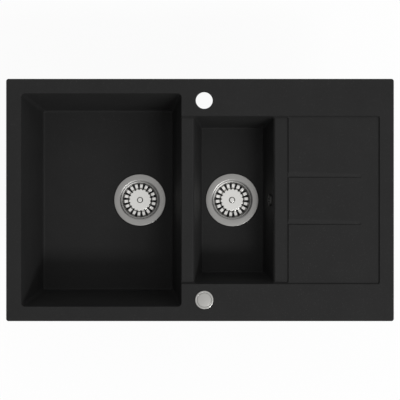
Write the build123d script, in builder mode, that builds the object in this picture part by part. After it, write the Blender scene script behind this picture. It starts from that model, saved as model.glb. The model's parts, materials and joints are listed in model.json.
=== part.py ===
"""Double bowl kitchen sink: a cast inset basin with a drainer, two basket strainers, a pop-up control, an overflow,
the waste pipework and the fixing clips.

Frame: millimetres, +Z up, +X towards the drainer, +Y towards the wall. The origin is the centre of the outline on
the worktop plane, so the rim stands above Z = 0 and the bowls and pipes hang below it.
"""

import os
from math import cos, radians, sin, tan

from build123d import *

# --- Basin: rim and recess ------------------------------------------------------------------------------------
length = 800.0
width = 500.0
rim_rise = 10.0
outline_radius = 5.0
rim_edge_radius = 2.5
wall = 9.0
cut_overrun = 1.0

cutout_margin = 10.0
skirt_play = 2.0
skirt_thickness = 5.0
skirt_depth = 8.0

recess_setback = 76.4
right_rim = 29.0
ledge_drop = 6.5
drainer_drop = 3.5
step_angle = 35.0
drainer_left = 180.9
ledge_overlap = 40.0

# --- Basin: bowls ---------------------------------------------------------------------------------------------
left_rim = 31.2
main_right = -38.0
long_rim = 30.0
main_depth = 190.0
main_draft = 6.4
main_corner_radius = 8.0
main_floor_radius = 6.0
main_drain_x = -133.0

small_left = -12.4
small_right = 152.6
small_margin = 0.6
small_depth = 130.0
small_draft = 7.0
small_corner_radius = 5.0
small_floor_radius = 4.0
small_drain_x = 69.5

main_edge_radius = 2.0
small_edge_radius = 4.0
recess_corner_radius = 4.5
skirt_corner_radius = 1.0

# --- Basin: drainer grooves -----------------------------------------------------------------------------------
groove_steep_sides = (46.3, -51.0)
groove_run_in = 2.0
groove_end_margin = 38.4
groove_start_width = 12.5
groove_end_width = 7.0
groove_end_depth = 1.6

# --- Tap and button holes -------------------------------------------------------------------------------------
tap_x = 8.7
tap_setback = 44.5
button_setback = 44.0
deck_hole_radius = 17.5

# --- Wastes ---------------------------------------------------------------------------------------------------
# Heights in a waste are counted from the bowl's floor, downwards as positive depths.
drain_hole_radius = 45.0
drain_boss_radius = 62.0
drain_boss_drop = 3.0
flange_seat_depth = 2.5
flange_radius = 57.0
flange_edge_radius = 0.8
flange_seat_play = 1.2
flange_seal_thickness = 1.0
flange_rise = 0.3
flange_bevel_radius = 43.4
flange_bevel_run = 2.0
flange_bevel_drop = 1.0
throat_edge_depth = 3.0
seal_margin = 1.0
throat_radius = 41.6
cup_steel = 1.2
throat_depth = 14.0
seat_radius = 36.5
cup_depth = 26.0
cup_hole_radius = 7.0
cup_hole_circle = 22.0
cup_hole_count = 6

body_seal_thickness = 2.0
body_flange_radius = 60.0
body_flange_thickness = 5.0
body_inner_radius = 44.0
body_wall = 3.0
body_straight_depth = 46.0
body_cone_depth = 66.0
body_length = 90.0
hub_radius = 9.0
hub_length = 16.0
spider_thickness = 3.0

bolt_radius = 5.5
bolt_bore_radius = 3.4
bolt_head_radius = 9.0
bolt_head_height = 2.5
bolt_chamfer = 1.0
bolt_end_gap = 1.0
bolt_play = 0.1

# --- Baskets --------------------------------------------------------------------------------------------------
basket_steel = 0.9
basket_wall_steel = 0.95
basket_rim_radius = 41.0
basket_wall_top_radius = 38.4
basket_wall_foot_radius = 36.4
basket_rim_depth = 1.2
basket_floor_depth = 13.0
basket_plate_depth = 7.0
basket_plate_radius = 23.6
basket_step_radius = 27.4
slot_count = 18
slot_inner_radius = 22.3
slot_outer_radius = 35.9
slot_inner_width = 2.6
slot_outer_width = 6.2
slot_corner_radius = 1.0
slot_phase = -5.0
knob_radius = 6.8
knob_rise = 3.6
knob_undercut = 0.8
knob_edge_radius = 0.8
knob_stud_radius = 3.0
knob_stud_length = 7.0
stud_play = 0.1
plug_hub_radius = 7.0
plug_disc_radius = 32.0
plug_disc_depth = 19.0
plug_disc_thickness = 2.5
seal_top_depth = 17.2
seal_thickness = 3.2
seat_gap = 0.3
stem_radius = 2.8
stem_socket_length = 5.0
stem_chamfer = 0.6

# --- Pop-up mechanism -----------------------------------------------------------------------------------------
basket_lift = 8.0
button_travel = 5.0
lever_swing = 30.0
pin_collar_radius = 4.2
pin_collar_thickness = 2.0
pin_nose_length = 3.0
pin_nose_radius = 2.7
pin_bottom_depth = 58.0
finger_gap = 0.65
stem_bottom_depth = 40.0
running_gap = 0.3
finger_width = 6.0
finger_root_radius = 4.0
finger_tip_radius = 2.5
shaft_radius = 3.0
shaft_boss_radius = 6.5
shaft_bore_start = 12.0
shaft_boss_start = 26.0
shaft_boss_end = 56.0
shaft_play = 0.1
crank_gap = 1.0
crank_thickness = 4.0
crank_hub_radius = 6.0
crank_end_radius = 4.0
crank_pin_radius = 2.0
crank_pin_length = 4.5
wire_radius = 0.9
wire_eye_radius = 4.5
wire_eye_play = 0.5
wire_eye_thickness = 3.2
ferrule_radius = 4.0
ferrule_length = 12.0
ferrule_lead = 4.0
ferrule_bore_play = 0.3
ferrule_end_wall = 1.0
ferrule_distance = 30.0
bracket_thickness = 3.0
bracket_margin = 7.0
bracket_root_y = -30.0
cable_radius = 2.5

# --- Push button, depths counted from the rim's top -----------------------------------------------------------
bezel_radius = 18.9
bezel_height = 2.0
bezel_chamfer = 1.0
bezel_tube_radius = 16.5
bezel_tube_depth = 24.0
cap_radius = 14.5
cap_play = 0.4
cap_proud = 0.3
cap_skirt_depth = 2.0
plunger_radius = 4.0
plunger_play = 0.4
plunger_depth = 30.0
plunger_end_gap = 2.0
gasket_thickness = 1.5
gasket_radius = 19.5
nut_radius = 21.5
nut_height = 6.0
thread_play = 0.05
housing_radius = 18.5
housing_top_depth = 18.0
housing_bottom_depth = 62.0
housing_chamfer = 4.0
gland_radius = 5.0
gland_length = 8.0

# --- Overflow -------------------------------------------------------------------------------------------------
overflow_drop = 43.0
overflow_hole_radius = 11.0
cover_radius = 12.5
cover_height = 4.0
cover_steel = 1.2
cover_edge_radius = 1.5
cover_slot_count = 6
cover_slot_circle = 7.9
cover_slot_length = 5.0
cover_slot_width = 2.6
overflow_screw_radius = 2.5
overflow_screw_head_radius = 4.5
overflow_screw_head_height = 1.8
overflow_screw_edge_radius = 1.0
overflow_screw_reach = 22.0
overflow_gasket_radius = 17.0
overflow_gasket_thickness = 2.0
overflow_gasket_play = 0.5
elbow_flange_thickness = 3.0
elbow_radius = 14.0
elbow_wall = 2.5
elbow_reach = 41.0
elbow_boss_radius = 4.5
spigot_depth = 42.0
hose_radius = 10.0
hose_wall = 1.4
hose_play = 0.1
hose_cover = 16.0
hose_half_turn = 22.5
port_depth = 36.0
port_reach = 22.0
port_wall = 1.6
clamp_thickness = 1.5
clamp_width = 8.0
clamp_setback = 4.0
clamp_lug = 6.0

# --- Pipework -------------------------------------------------------------------------------------------------
thread_radius = 23.9
pipe_radius = 20.0
pipe_wall = 2.0
pipe_play = 0.2
thread_length = 18.0
washer_thickness = 2.5
collar_radius = 23.2
collar_thickness = 3.5
slip_nut_radius = 29.0
slip_nut_cover = 14.0
slip_nut_lip = 3.8
slip_nut_flutes = 12
slip_nut_flute_radius = 2.2
branch_drop = 46.0
branch_reach = 45.0
bend_radius = 36.0
elbow_outlet_reach = 62.0
tee_length = 92.0

# --- Fixing clips ---------------------------------------------------------------------------------------------
worktop_thickness = 38.0
clip_outer_setback = 100.0
clip_inner_x = 110.0
clip_inset = 6.7
clip_boss_radius = 5.9
clip_boss_depth = 24.0
plug_radius = 4.0
plug_length = 18.0
plug_play = 0.05
plug_flange_radius = 5.6
plug_flange_thickness = 1.2
plug_end_gap = 1.0
clip_screw_radius = 2.5
clip_screw_top = -8.0
clip_screw_head_radius = 4.6
clip_screw_head_height = 3.0
clip_hub_radius = 6.0
clip_steel = 3.0
clip_reach = 34.0
clip_width = 11.0
clip_tip_length = 9.0
clip_tip_flat = 3.0
clip_tip_rise = 3.5
clip_tip_gap = 0.5
clip_bend_shift = 1.0
clip_play = 0.2

# --- Worked-out places ----------------------------------------------------------------------------------------
cutout_length = length - 2 * cutout_margin
cutout_width = width - 2 * cutout_margin
recess_half_width = width / 2 - recess_setback
recess_right = length / 2 - right_rim
main_left = left_rim - length / 2
main_half_width = width / 2 - long_rim
small_half_width = recess_half_width - small_margin
groove_end = recess_right - groove_end_margin
clip_outer_x = length / 2 - clip_outer_setback
clip_xs = (-clip_outer_x, -clip_inner_x, clip_inner_x, clip_outer_x)
ledge_z = rim_rise - ledge_drop
drainer_z = rim_rise - drainer_drop
seam_z = ledge_z - wall
tap_y = width / 2 - tap_setback
button_y = button_setback - width / 2
main_floor_z = rim_rise - main_depth
small_floor_z = rim_rise - small_depth
main_length = main_right - main_left
main_x = (main_left + main_right) / 2
small_length = small_right - small_left
small_x = (small_left + small_right) / 2
step_inset = tan(radians(step_angle))
ledge_half_width = recess_half_width - ledge_drop * step_inset
body_top = wall + drain_boss_drop + body_seal_thickness
half_swing = radians(lever_swing / 2)
finger_reach = basket_lift / (2 * sin(half_swing))
crank_reach = button_travel / (2 * sin(half_swing))
barb_radius = hose_radius - hose_wall - hose_play
pipe_bore = pipe_radius - pipe_wall


os.makedirs("parts", exist_ok=True)


def save(block, name):
    """Label a finished piece and write its STEP file."""
    block.part.label = name
    export_step(block.part, f"parts/{name}.step")


def section(x, y, z):
    """The upright XZ plane through a vertical axis at x, y: its local X is the radius and its Y is the height."""
    return Plane(origin=(x, y, z), x_dir=(1, 0, 0), z_dir=(0, -1, 0))


def upright(x, y):
    """The vertical axis at x, y."""
    return Axis((x, y, 0), (0, 0, 1))


def turned(points, x, y, z):
    """A turned piece: the closed outline of radius and height points, revolved about the vertical axis at x, y."""
    with BuildPart() as piece:
        with BuildSketch(section(x, y, z)):
            with BuildLine():
                Polyline(*points, close=True)
            make_face()
        revolve(axis=upright(x, y))
    return piece


# ==============================================================================================================
# Basin
# ==============================================================================================================
def bowl_block(x, block_length, half_width, depth, draft, corner_radius, floor_radius):
    """A drafted block down from the rim's top, with rounded corners and a rounded floor edge."""
    with BuildPart() as block:
        with BuildSketch(Plane.XY.offset(rim_rise)):
            with Locations((x, 0)):
                Rectangle(block_length, 2 * half_width)
        extrude(amount=-depth, taper=draft)
        faces = block.faces().sort_by(Axis.Z)
        level_edges = faces[0].edges() + faces[-1].edges()
        fillet([edge for edge in block.edges() if edge not in level_edges], corner_radius)
        fillet(block.faces().sort_by(Axis.Z)[0].edges(), floor_radius)
    return block


def wall_shift(draft):
    """The level distance between the inner and outer faces of a drafted wall."""
    return wall / cos(radians(draft))


def recess_block(left, right, drop):
    """The void of one level of the recess, its edges sloping in from the rim."""
    with BuildPart() as block:
        with BuildSketch(Plane.XY.offset(rim_rise)):
            with Locations(((left + right) / 2, 0)):
                Rectangle(right - left, 2 * recess_half_width)
        extrude(amount=-drop, taper=step_angle)
        slopes = block.edges().filter_by(Axis.X, reverse=True).filter_by(Axis.Y, reverse=True)
        fillet(slopes.sort_by(Axis.X)[-2:], recess_corner_radius)
    return block


def groove_block(steep_y):
    """One drainer groove: a steep front side and a gentle rear side, shallower and narrower to the right."""
    start_depth = ledge_drop - drainer_drop
    with BuildPart() as block:
        for x, groove_width, depth in (
            (drainer_left - groove_run_in, groove_start_width, start_depth),
            (groove_end, groove_end_width, groove_end_depth),
        ):
            slope = groove_width / depth
            with BuildSketch(Plane(origin=(x, steep_y, drainer_z), x_dir=(0, 1, 0), z_dir=(1, 0, 0))):
                with BuildLine():
                    Polyline(
                        (0, -depth), (0, cut_overrun), (groove_width + slope * cut_overrun, cut_overrun), close=True
                    )
                make_face()
        loft()
    return block


def edge_round(x, radius, direction):
    """The strip above a rounded ledge edge at x, running across the recess; direction is +1 when the ledge is to +X."""
    with BuildPart() as strip:
        with BuildSketch(Plane(origin=(x, ledge_half_width, ledge_z), x_dir=(1, 0, 0), z_dir=(0, -1, 0))):
            with BuildLine():
                Polyline(
                    (direction * radius, 0),
                    (direction * radius, cut_overrun),
                    (-direction * radius, cut_overrun),
                    (-direction * radius, -radius),
                    (0, -radius),
                )
                RadiusArc((0, -radius), (direction * radius, 0), direction * radius)
            make_face()
        extrude(amount=2 * ledge_half_width)
    return strip


def bowl_pair(x, block_length, half_width, depth, draft, corner_radius, floor_radius):
    """A bowl's void and the block that leaves a wall of even thickness round it."""
    shift = wall_shift(draft)
    void = bowl_block(x, block_length, half_width, depth, draft, corner_radius, floor_radius)
    shell = bowl_block(
        x,
        block_length + 2 * shift,
        half_width + shift,
        depth + wall,
        draft,
        corner_radius + wall,
        floor_radius + wall,
    )
    return void, shell


def bowl_below(shell, void, drain_x, floor_z):
    """The bowl under the deck: its walls, its floor with the drain boss, the flange's seat and the drain hole."""
    with BuildPart() as bowl:
        add(shell.part)
        split(bisect_by=Plane.XY.offset(seam_z), keep=Keep.BOTTOM)
        with BuildSketch(Plane.XY.offset(floor_z - wall - drain_boss_drop)):
            with Locations((drain_x, 0)):
                Circle(drain_boss_radius)
        extrude(amount=wall + drain_boss_drop)
        add(void.part, mode=Mode.SUBTRACT)
        with BuildSketch(Plane.XY.offset(floor_z - flange_seat_depth)):
            with Locations((drain_x, 0)):
                Circle(flange_radius + flange_seat_play)
        extrude(amount=flange_seat_depth + cut_overrun, mode=Mode.SUBTRACT)
        with BuildSketch(Plane.XY.offset(floor_z)):
            with Locations((drain_x, 0)):
                Circle(drain_hole_radius)
        extrude(amount=-(wall + drain_boss_drop + cut_overrun), mode=Mode.SUBTRACT)
    return bowl


main_void, main_shell = bowl_pair(
    main_x, main_length, main_half_width, main_depth, main_draft, main_corner_radius, main_floor_radius
)
small_rise = ledge_drop * tan(radians(small_draft))
small_void, small_shell = bowl_pair(
    small_x,
    small_length + 2 * small_rise,
    small_half_width,
    small_depth,
    small_draft,
    small_corner_radius,
    small_floor_radius,
)
ledge_void = recess_block(main_right - ledge_overlap, drainer_left + ledge_drop * step_inset, ledge_drop)
drainer_void = recess_block(small_right, recess_right, drainer_drop)
grooves = [groove_block(steep_y) for steep_y in groove_steep_sides]
edge_rounds = [
    edge_round(main_right - ledge_drop * tan(radians(main_draft)), main_edge_radius, 1),
    edge_round(small_left, small_edge_radius, -1),
    edge_round(small_right, small_edge_radius, 1),
]

clip_y = cutout_width / 2 - clip_inset
clip_places = [(x, side * clip_y) for side in (1, -1) for x in clip_xs]

overflow_z = rim_rise - overflow_drop
overflow_x = small_right - (ledge_z - overflow_z) * tan(radians(small_draft))
overflow_plane = Plane(
    origin=(overflow_x, 0, overflow_z),
    x_dir=(0, -1, 0),
    z_dir=(-cos(radians(small_draft)), 0, sin(radians(small_draft))),
)

# The casting is kept as three solids that meet face to face at the tray's underside: the deck and the two bowls.
with BuildPart() as deck:
    # Rim plate with its rounded top edge
    with BuildSketch(Plane.XY):
        RectangleRounded(length, width, outline_radius)
    extrude(amount=rim_rise)
    fillet(deck.faces().sort_by(Axis.Z)[-1].edges(), rim_edge_radius)
    # Tray under the recess, and the tops of the bowls' walls
    tray_left = main_right - wall
    tray_right = recess_right + wall
    with BuildSketch(Plane.XY.offset(seam_z)):
        with Locations(((tray_left + tray_right) / 2, 0)):
            RectangleRounded(tray_right - tray_left, 2 * (recess_half_width + wall), wall)
    extrude(amount=wall)
    add(main_shell.part)
    split(bisect_by=Plane.XY.offset(seam_z), keep=Keep.TOP)
    # Skirt that locates the rim in the worktop's cutout
    with BuildSketch(Plane.XY):
        skirt_length = cutout_length - 2 * skirt_play
        skirt_width = cutout_width - 2 * skirt_play
        RectangleRounded(skirt_length, skirt_width, outline_radius)
        RectangleRounded(
            skirt_length - 2 * skirt_thickness,
            skirt_width - 2 * skirt_thickness,
            skirt_corner_radius,
            mode=Mode.SUBTRACT,
        )
    extrude(amount=-skirt_depth)
    # Clip bosses under the long sides
    with BuildSketch(Plane.XY):
        with Locations(*clip_places):
            Circle(clip_boss_radius)
    extrude(amount=-clip_boss_depth)
    # Voids
    add(ledge_void.part, mode=Mode.SUBTRACT)
    add(drainer_void.part, mode=Mode.SUBTRACT)
    add(main_void.part, mode=Mode.SUBTRACT)
    add(small_void.part, mode=Mode.SUBTRACT)
    for cut in grooves + edge_rounds:
        add(cut.part, mode=Mode.SUBTRACT)
    # Deck holes for the tap and the button
    with BuildSketch(Plane.XY.offset(rim_rise)):
        with Locations((tap_x, tap_y), (tap_x, button_y)):
            Circle(deck_hole_radius)
    extrude(amount=-rim_rise, mode=Mode.SUBTRACT)
    # Plug holes in the clip bosses
    with BuildSketch(Plane.XY.offset(-clip_boss_depth)):
        with Locations(*clip_places):
            Circle(plug_radius + plug_play)
    extrude(amount=plug_length + plug_end_gap, mode=Mode.SUBTRACT)
save(deck, "sink_deck")

save(bowl_below(main_shell, main_void, main_drain_x, main_floor_z), "main_bowl")

small_below = bowl_below(small_shell, small_void, small_drain_x, small_floor_z)
with BuildPart() as small_bowl:
    add(small_below.part)
    # Overflow hole through the right wall
    with BuildSketch(overflow_plane.offset(cut_overrun)):
        Circle(overflow_hole_radius)
    extrude(amount=-(wall + 2 * cut_overrun), mode=Mode.SUBTRACT)
save(small_bowl, "small_bowl")


# ==============================================================================================================
# Wastes and baskets, the same in both bowls
# ==============================================================================================================
def waste_flange(x, floor_z):
    """Steel flange in the floor with its cup: a lip, a throat, a conical seat and a pierced bottom."""
    cup_bottom = -cup_depth - cup_steel
    seat_foot = -throat_depth - (throat_radius - seat_radius)
    under_lip = flange_seal_thickness - flange_seat_depth
    points = [
        (flange_radius, under_lip),
        (flange_radius, flange_rise),
        (flange_bevel_radius + flange_bevel_run, flange_rise),
        (flange_bevel_radius, flange_rise - flange_bevel_drop),
        (throat_radius, -throat_edge_depth),
        (throat_radius, -throat_depth),
        (seat_radius, seat_foot),
        (seat_radius, -cup_depth),
        (bolt_radius + bolt_play, -cup_depth),
        (bolt_radius + bolt_play, cup_bottom),
        (seat_radius + cup_steel, cup_bottom),
        (seat_radius + cup_steel, seat_foot - cup_steel / 2),
        (throat_radius + cup_steel, -throat_depth - cup_steel / 2),
        (throat_radius + cup_steel, under_lip),
    ]
    piece = turned(points, x, 0, floor_z)
    with BuildPart() as flange:
        add(piece.part)
        top_edges = flange.edges().filter_by(GeomType.CIRCLE).group_by(Axis.Z)[-1]
        fillet(top_edges.sort_by(SortBy.RADIUS)[-1], flange_edge_radius)
        with BuildSketch(Plane.XY.offset(floor_z + cup_bottom)):
            with Locations((x, 0)):
                with PolarLocations(cup_hole_circle, cup_hole_count):
                    Circle(cup_hole_radius)
        extrude(amount=cup_steel, mode=Mode.SUBTRACT)
    return flange


def ring(x, y, bottom_z, inner, outer, height):
    """A flat ring about a vertical axis."""
    with BuildPart() as piece:
        with BuildSketch(Plane.XY.offset(bottom_z)):
            with Locations((x, y)):
                Circle(outer)
                Circle(inner, mode=Mode.SUBTRACT)
        extrude(amount=height)
    return piece


def waste_body_core(x, floor_z):
    """Plastic body clamped under the floor: flange, funnel, threaded outlet and the spider that takes the bolt."""
    points = [
        (body_inner_radius, -body_top),
        (body_flange_radius, -body_top),
        (body_flange_radius, -body_top - body_flange_thickness),
        (body_inner_radius + body_wall, -body_top - body_flange_thickness),
        (body_inner_radius + body_wall, -body_straight_depth),
        (thread_radius, -body_cone_depth),
        (thread_radius, -body_length),
        (pipe_radius, -body_length),
        (pipe_radius, -body_cone_depth),
        (body_inner_radius, -body_straight_depth),
    ]
    shell = turned(points, x, 0, floor_z)
    hub_top = floor_z - cup_depth - cup_steel
    with BuildPart() as body:
        add(shell.part)
        with BuildSketch(Plane.XY.offset(hub_top)):
            with Locations((x, 0)):
                Circle(hub_radius)
                Rectangle(2 * body_inner_radius + body_wall, spider_thickness)
                Rectangle(spider_thickness, 2 * body_inner_radius + body_wall)
        extrude(amount=-hub_length)
        with BuildSketch(Plane.XY.offset(hub_top)):
            with Locations((x, 0)):
                Circle(bolt_radius + bolt_play)
        extrude(amount=-hub_length, mode=Mode.SUBTRACT)
    return body


def centre_bolt(x, floor_z):
    """Hollow bolt that clamps the cup to the body and guides the basket's stem."""
    head_bottom = -cup_depth
    points = [
        (bolt_bore_radius, head_bottom + bolt_head_height),
        (bolt_head_radius - bolt_chamfer, head_bottom + bolt_head_height),
        (bolt_head_radius, head_bottom + bolt_head_height - bolt_chamfer),
        (bolt_head_radius, head_bottom),
        (bolt_radius, head_bottom),
        (bolt_radius, head_bottom - cup_steel - hub_length + bolt_end_gap),
        (bolt_bore_radius, head_bottom - cup_steel - hub_length + bolt_end_gap),
    ]
    return turned(points, x, 0, floor_z)


def basket(x, floor_z):
    """Stamped steel strainer: rim, steep wall, slotted floor and raised centre plate."""
    points = [
        (knob_stud_radius + stud_play, -basket_plate_depth),
        (basket_plate_radius, -basket_plate_depth),
        (basket_step_radius, -basket_floor_depth),
        (basket_wall_foot_radius, -basket_floor_depth),
        (basket_wall_top_radius, -basket_rim_depth),
        (basket_rim_radius, -basket_rim_depth),
        (basket_rim_radius, -basket_rim_depth - basket_steel),
        (basket_wall_top_radius + basket_wall_steel, -basket_rim_depth - basket_steel),
        (basket_wall_foot_radius + basket_wall_steel, -basket_floor_depth - basket_steel),
        (basket_step_radius - basket_wall_steel, -basket_floor_depth - basket_steel),
        (basket_plate_radius - basket_wall_steel, -basket_plate_depth - basket_steel),
        (knob_stud_radius + stud_play, -basket_plate_depth - basket_steel),
    ]
    shell = turned(points, x, 0, floor_z)
    with BuildSketch() as slot:
        with BuildLine():
            Polyline(
                (slot_inner_radius, slot_inner_width / 2),
                (slot_outer_radius, slot_outer_width / 2),
                (slot_outer_radius, -slot_outer_width / 2),
                (slot_inner_radius, -slot_inner_width / 2),
                close=True,
            )
        make_face()
        fillet(slot.vertices(), slot_corner_radius)
    with BuildPart() as strainer:
        add(shell.part)
        with BuildSketch(Plane.XY.offset(floor_z - basket_floor_depth - 2 * basket_steel)):
            with Locations((x, 0)):
                with PolarLocations(0, slot_count, start_angle=slot_phase):
                    add(slot.sketch)
        extrude(amount=basket_floor_depth, mode=Mode.SUBTRACT)
    return strainer


def basket_knob(x, floor_z):
    """Turned steel knob on the centre plate, with a stud into the plug."""
    plate = -basket_plate_depth
    points = [
        (0, plate + knob_rise),
        (0, plate - knob_stud_length),
        (knob_stud_radius, plate - knob_stud_length),
        (knob_stud_radius, plate),
        (knob_radius - knob_undercut, plate),
        (knob_radius, plate + knob_rise / 2),
        (knob_radius - knob_undercut / 2, plate + knob_rise),
    ]
    piece = turned(points, x, 0, floor_z)
    with BuildPart() as knob:
        add(piece.part)
        fillet(knob.faces().sort_by(Axis.Z)[-1].edges(), knob_edge_radius)
    return knob


def basket_plug(x, floor_z):
    """Plastic plug under the basket: a hub on the knob's stud and a disc that carries the seal."""
    top = -basket_plate_depth - basket_steel
    disc_bottom = -plug_disc_depth - plug_disc_thickness
    points = [
        (knob_stud_radius + stud_play, top),
        (plug_hub_radius, top),
        (plug_hub_radius, -plug_disc_depth),
        (plug_disc_radius, -plug_disc_depth),
        (plug_disc_radius, disc_bottom),
        (stem_radius + stud_play, disc_bottom),
        (stem_radius + stud_play, disc_bottom + stem_socket_length),
        (0, disc_bottom + stem_socket_length),
        (0, -basket_plate_depth - knob_stud_length),
        (knob_stud_radius + stud_play, -basket_plate_depth - knob_stud_length),
    ]
    return turned(points, x, 0, floor_z)


def basket_seal(x, floor_z):
    """Rubber ring round the plug's disc, its conical face parallel to the cup's seat."""
    gap = seat_gap / cos(radians(45))
    top_radius = throat_radius - (seal_top_depth - throat_depth) - gap
    foot_depth = seal_top_depth + seal_thickness
    seat_foot_depth = throat_depth + throat_radius - seat_radius
    points = [
        (plug_disc_radius, -seal_top_depth),
        (top_radius, -seal_top_depth),
        (seat_radius - gap, -seat_foot_depth),
        (seat_radius - gap - seal_margin, -foot_depth),
        (plug_disc_radius, -foot_depth),
    ]
    return turned(points, x, 0, floor_z)


def basket_stem(x, floor_z):
    """Steel stem pressed into the plug, guided by the hollow bolt."""
    top = floor_z - plug_disc_depth - plug_disc_thickness + stem_socket_length
    with BuildPart() as stem:
        with BuildSketch(Plane.XY.offset(floor_z - stem_bottom_depth)):
            with Locations((x, 0)):
                Circle(stem_radius)
        extrude(amount=top - (floor_z - stem_bottom_depth))
        chamfer(stem.faces().sort_by(Axis.Z)[0].edges(), stem_chamfer)
    return stem


wastes = (("main", main_drain_x, main_floor_z), ("small", small_drain_x, small_floor_z))
for bowl, drain_x, floor_z in wastes:
    save(waste_flange(drain_x, floor_z), f"{bowl}_flange")
    seal_inner = drain_hole_radius + seal_margin
    flange_seal = ring(
        drain_x, 0, floor_z - flange_seat_depth, seal_inner, flange_radius - seal_margin, flange_seal_thickness
    )
    save(flange_seal, f"{bowl}_flange_seal")
    body_seal = ring(
        drain_x, 0, floor_z - body_top, seal_inner, body_flange_radius - seal_margin, body_seal_thickness
    )
    save(body_seal, f"{bowl}_body_seal")
    save(centre_bolt(drain_x, floor_z), f"{bowl}_centre_bolt")
    save(basket(drain_x, floor_z), f"{bowl}_basket")
    save(basket_knob(drain_x, floor_z), f"{bowl}_basket_knob")
    save(basket_plug(drain_x, floor_z), f"{bowl}_basket_plug")
    save(basket_seal(drain_x, floor_z), f"{bowl}_basket_seal")
    save(basket_stem(drain_x, floor_z), f"{bowl}_basket_stem")

# ==============================================================================================================
# Small waste body with its overflow port
# ==============================================================================================================
port_z = small_floor_z - port_depth
port_tip_x = small_drain_x + body_inner_radius + port_reach
port_plane = Plane(origin=(port_tip_x, 0, port_z), x_dir=(0, 1, 0), z_dir=(1, 0, 0))
small_body_core = waste_body_core(small_drain_x, small_floor_z)
with BuildPart() as small_waste_body:
    add(small_body_core.part)
    with BuildSketch(port_plane):
        Circle(barb_radius)
    extrude(amount=-port_reach)
    with BuildSketch(port_plane):
        Circle(barb_radius - port_wall)
    extrude(amount=-port_reach - body_wall, mode=Mode.SUBTRACT)
save(small_waste_body, "small_waste_body")

# ==============================================================================================================
# Main waste body with the lift shaft's boss and the cable's bracket
# ==============================================================================================================
shaft_x = main_drain_x + finger_reach * cos(half_swing)
finger_tip_z = main_floor_z - pin_bottom_depth - finger_gap - finger_tip_radius
shaft_z = finger_tip_z + finger_reach * sin(half_swing)
crank_y = -shaft_boss_end - crank_gap
crank_pin_x = shaft_x - crank_reach * sin(half_swing)
crank_pin_z = shaft_z + crank_reach * cos(half_swing)
wire_y = crank_y - crank_thickness - wire_eye_thickness / 2 - running_gap
wire_z = shaft_z + crank_reach * (1 + cos(half_swing)) / 2
ferrule_x = shaft_x + ferrule_distance
shaft_plane = Plane(origin=(shaft_x, 0, shaft_z), x_dir=(1, 0, 0), z_dir=(0, -1, 0))
bracket_top = main_floor_z - body_top - body_flange_thickness
bracket_front_y = wire_y - bracket_margin

main_body_core = waste_body_core(main_drain_x, main_floor_z)
with BuildPart() as main_waste_body:
    add(main_body_core.part)
    # Boss for the lift shaft, through the front of the funnel
    with BuildSketch(shaft_plane.offset(shaft_boss_start)):
        Circle(shaft_boss_radius)
    extrude(amount=shaft_boss_end - shaft_boss_start)
    # Bracket that holds the cable's ferrule: a shelf off the flange and a hanging plate
    with BuildSketch(Plane.XY.offset(bracket_top)):
        with BuildLine():
            Polyline(
                (main_drain_x + body_inner_radius / 2, bracket_root_y),
                (ferrule_x + bracket_thickness, bracket_root_y),
                (ferrule_x + bracket_thickness, bracket_front_y),
                (ferrule_x - bracket_margin, bracket_front_y),
                close=True,
            )
        make_face()
        with Locations((main_drain_x, 0)):
            Circle(body_inner_radius + body_wall, mode=Mode.SUBTRACT)
    extrude(amount=body_flange_thickness)
    with BuildSketch(Plane.XY.offset(wire_z - bracket_margin)):
        with Locations((ferrule_x + bracket_thickness / 2, (bracket_front_y + bracket_root_y) / 2)):
            Rectangle(bracket_thickness, bracket_root_y - bracket_front_y)
    extrude(amount=bracket_top - wire_z + bracket_margin)
    # Bores for the shaft and the ferrule
    with BuildSketch(shaft_plane.offset(shaft_bore_start)):
        Circle(shaft_radius + shaft_play)
    extrude(amount=shaft_boss_end, mode=Mode.SUBTRACT)
    with BuildSketch(Plane(origin=(ferrule_x, wire_y, wire_z), x_dir=(0, 1, 0), z_dir=(1, 0, 0))):
        Circle(ferrule_radius + thread_play)
    extrude(amount=bracket_thickness, mode=Mode.SUBTRACT)
save(main_waste_body, "main_waste_body")

# ==============================================================================================================
# Pop-up mechanism under the main basket
# ==============================================================================================================
with BuildPart() as lift_pin:
    with BuildSketch(Plane.XY.offset(main_floor_z - pin_bottom_depth)):
        with Locations((main_drain_x, 0)):
            Circle(stem_radius)
    extrude(amount=pin_bottom_depth - stem_bottom_depth - running_gap)
    fillet(lift_pin.faces().sort_by(Axis.Z)[0].edges(), pin_nose_radius)
    with BuildSketch(Plane.XY.offset(main_floor_z - pin_bottom_depth + pin_nose_length)):
        with Locations((main_drain_x, 0)):
            Circle(pin_collar_radius)
    extrude(amount=pin_collar_thickness)
save(lift_pin, "lift_pin")

with BuildPart() as lift_shaft:
    with BuildSketch(shaft_plane.offset(-finger_width / 2)):
        Circle(shaft_radius)
    extrude(amount=finger_width / 2 - crank_y + crank_thickness)
    with BuildSketch(shaft_plane.offset(-finger_width / 2)):
        Circle(finger_root_radius)
        with Locations((main_drain_x - shaft_x, finger_tip_z - shaft_z)):
            Circle(finger_tip_radius)
        make_hull()
    extrude(amount=finger_width)
save(lift_shaft, "lift_shaft")

with BuildPart() as lift_crank:
    with BuildSketch(shaft_plane.offset(-crank_y)):
        Circle(crank_hub_radius)
        with Locations((crank_pin_x - shaft_x, crank_pin_z - shaft_z)):
            Circle(crank_end_radius)
        make_hull()
    extrude(amount=crank_thickness)
    with BuildSketch(shaft_plane.offset(-crank_y)):
        with Locations((crank_pin_x - shaft_x, crank_pin_z - shaft_z)):
            Circle(crank_pin_radius)
    extrude(amount=crank_thickness + crank_pin_length)
    with BuildSketch(shaft_plane.offset(-crank_y)):
        Circle(shaft_radius + thread_play)
    extrude(amount=crank_thickness, mode=Mode.SUBTRACT)
save(lift_crank, "lift_crank")

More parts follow.
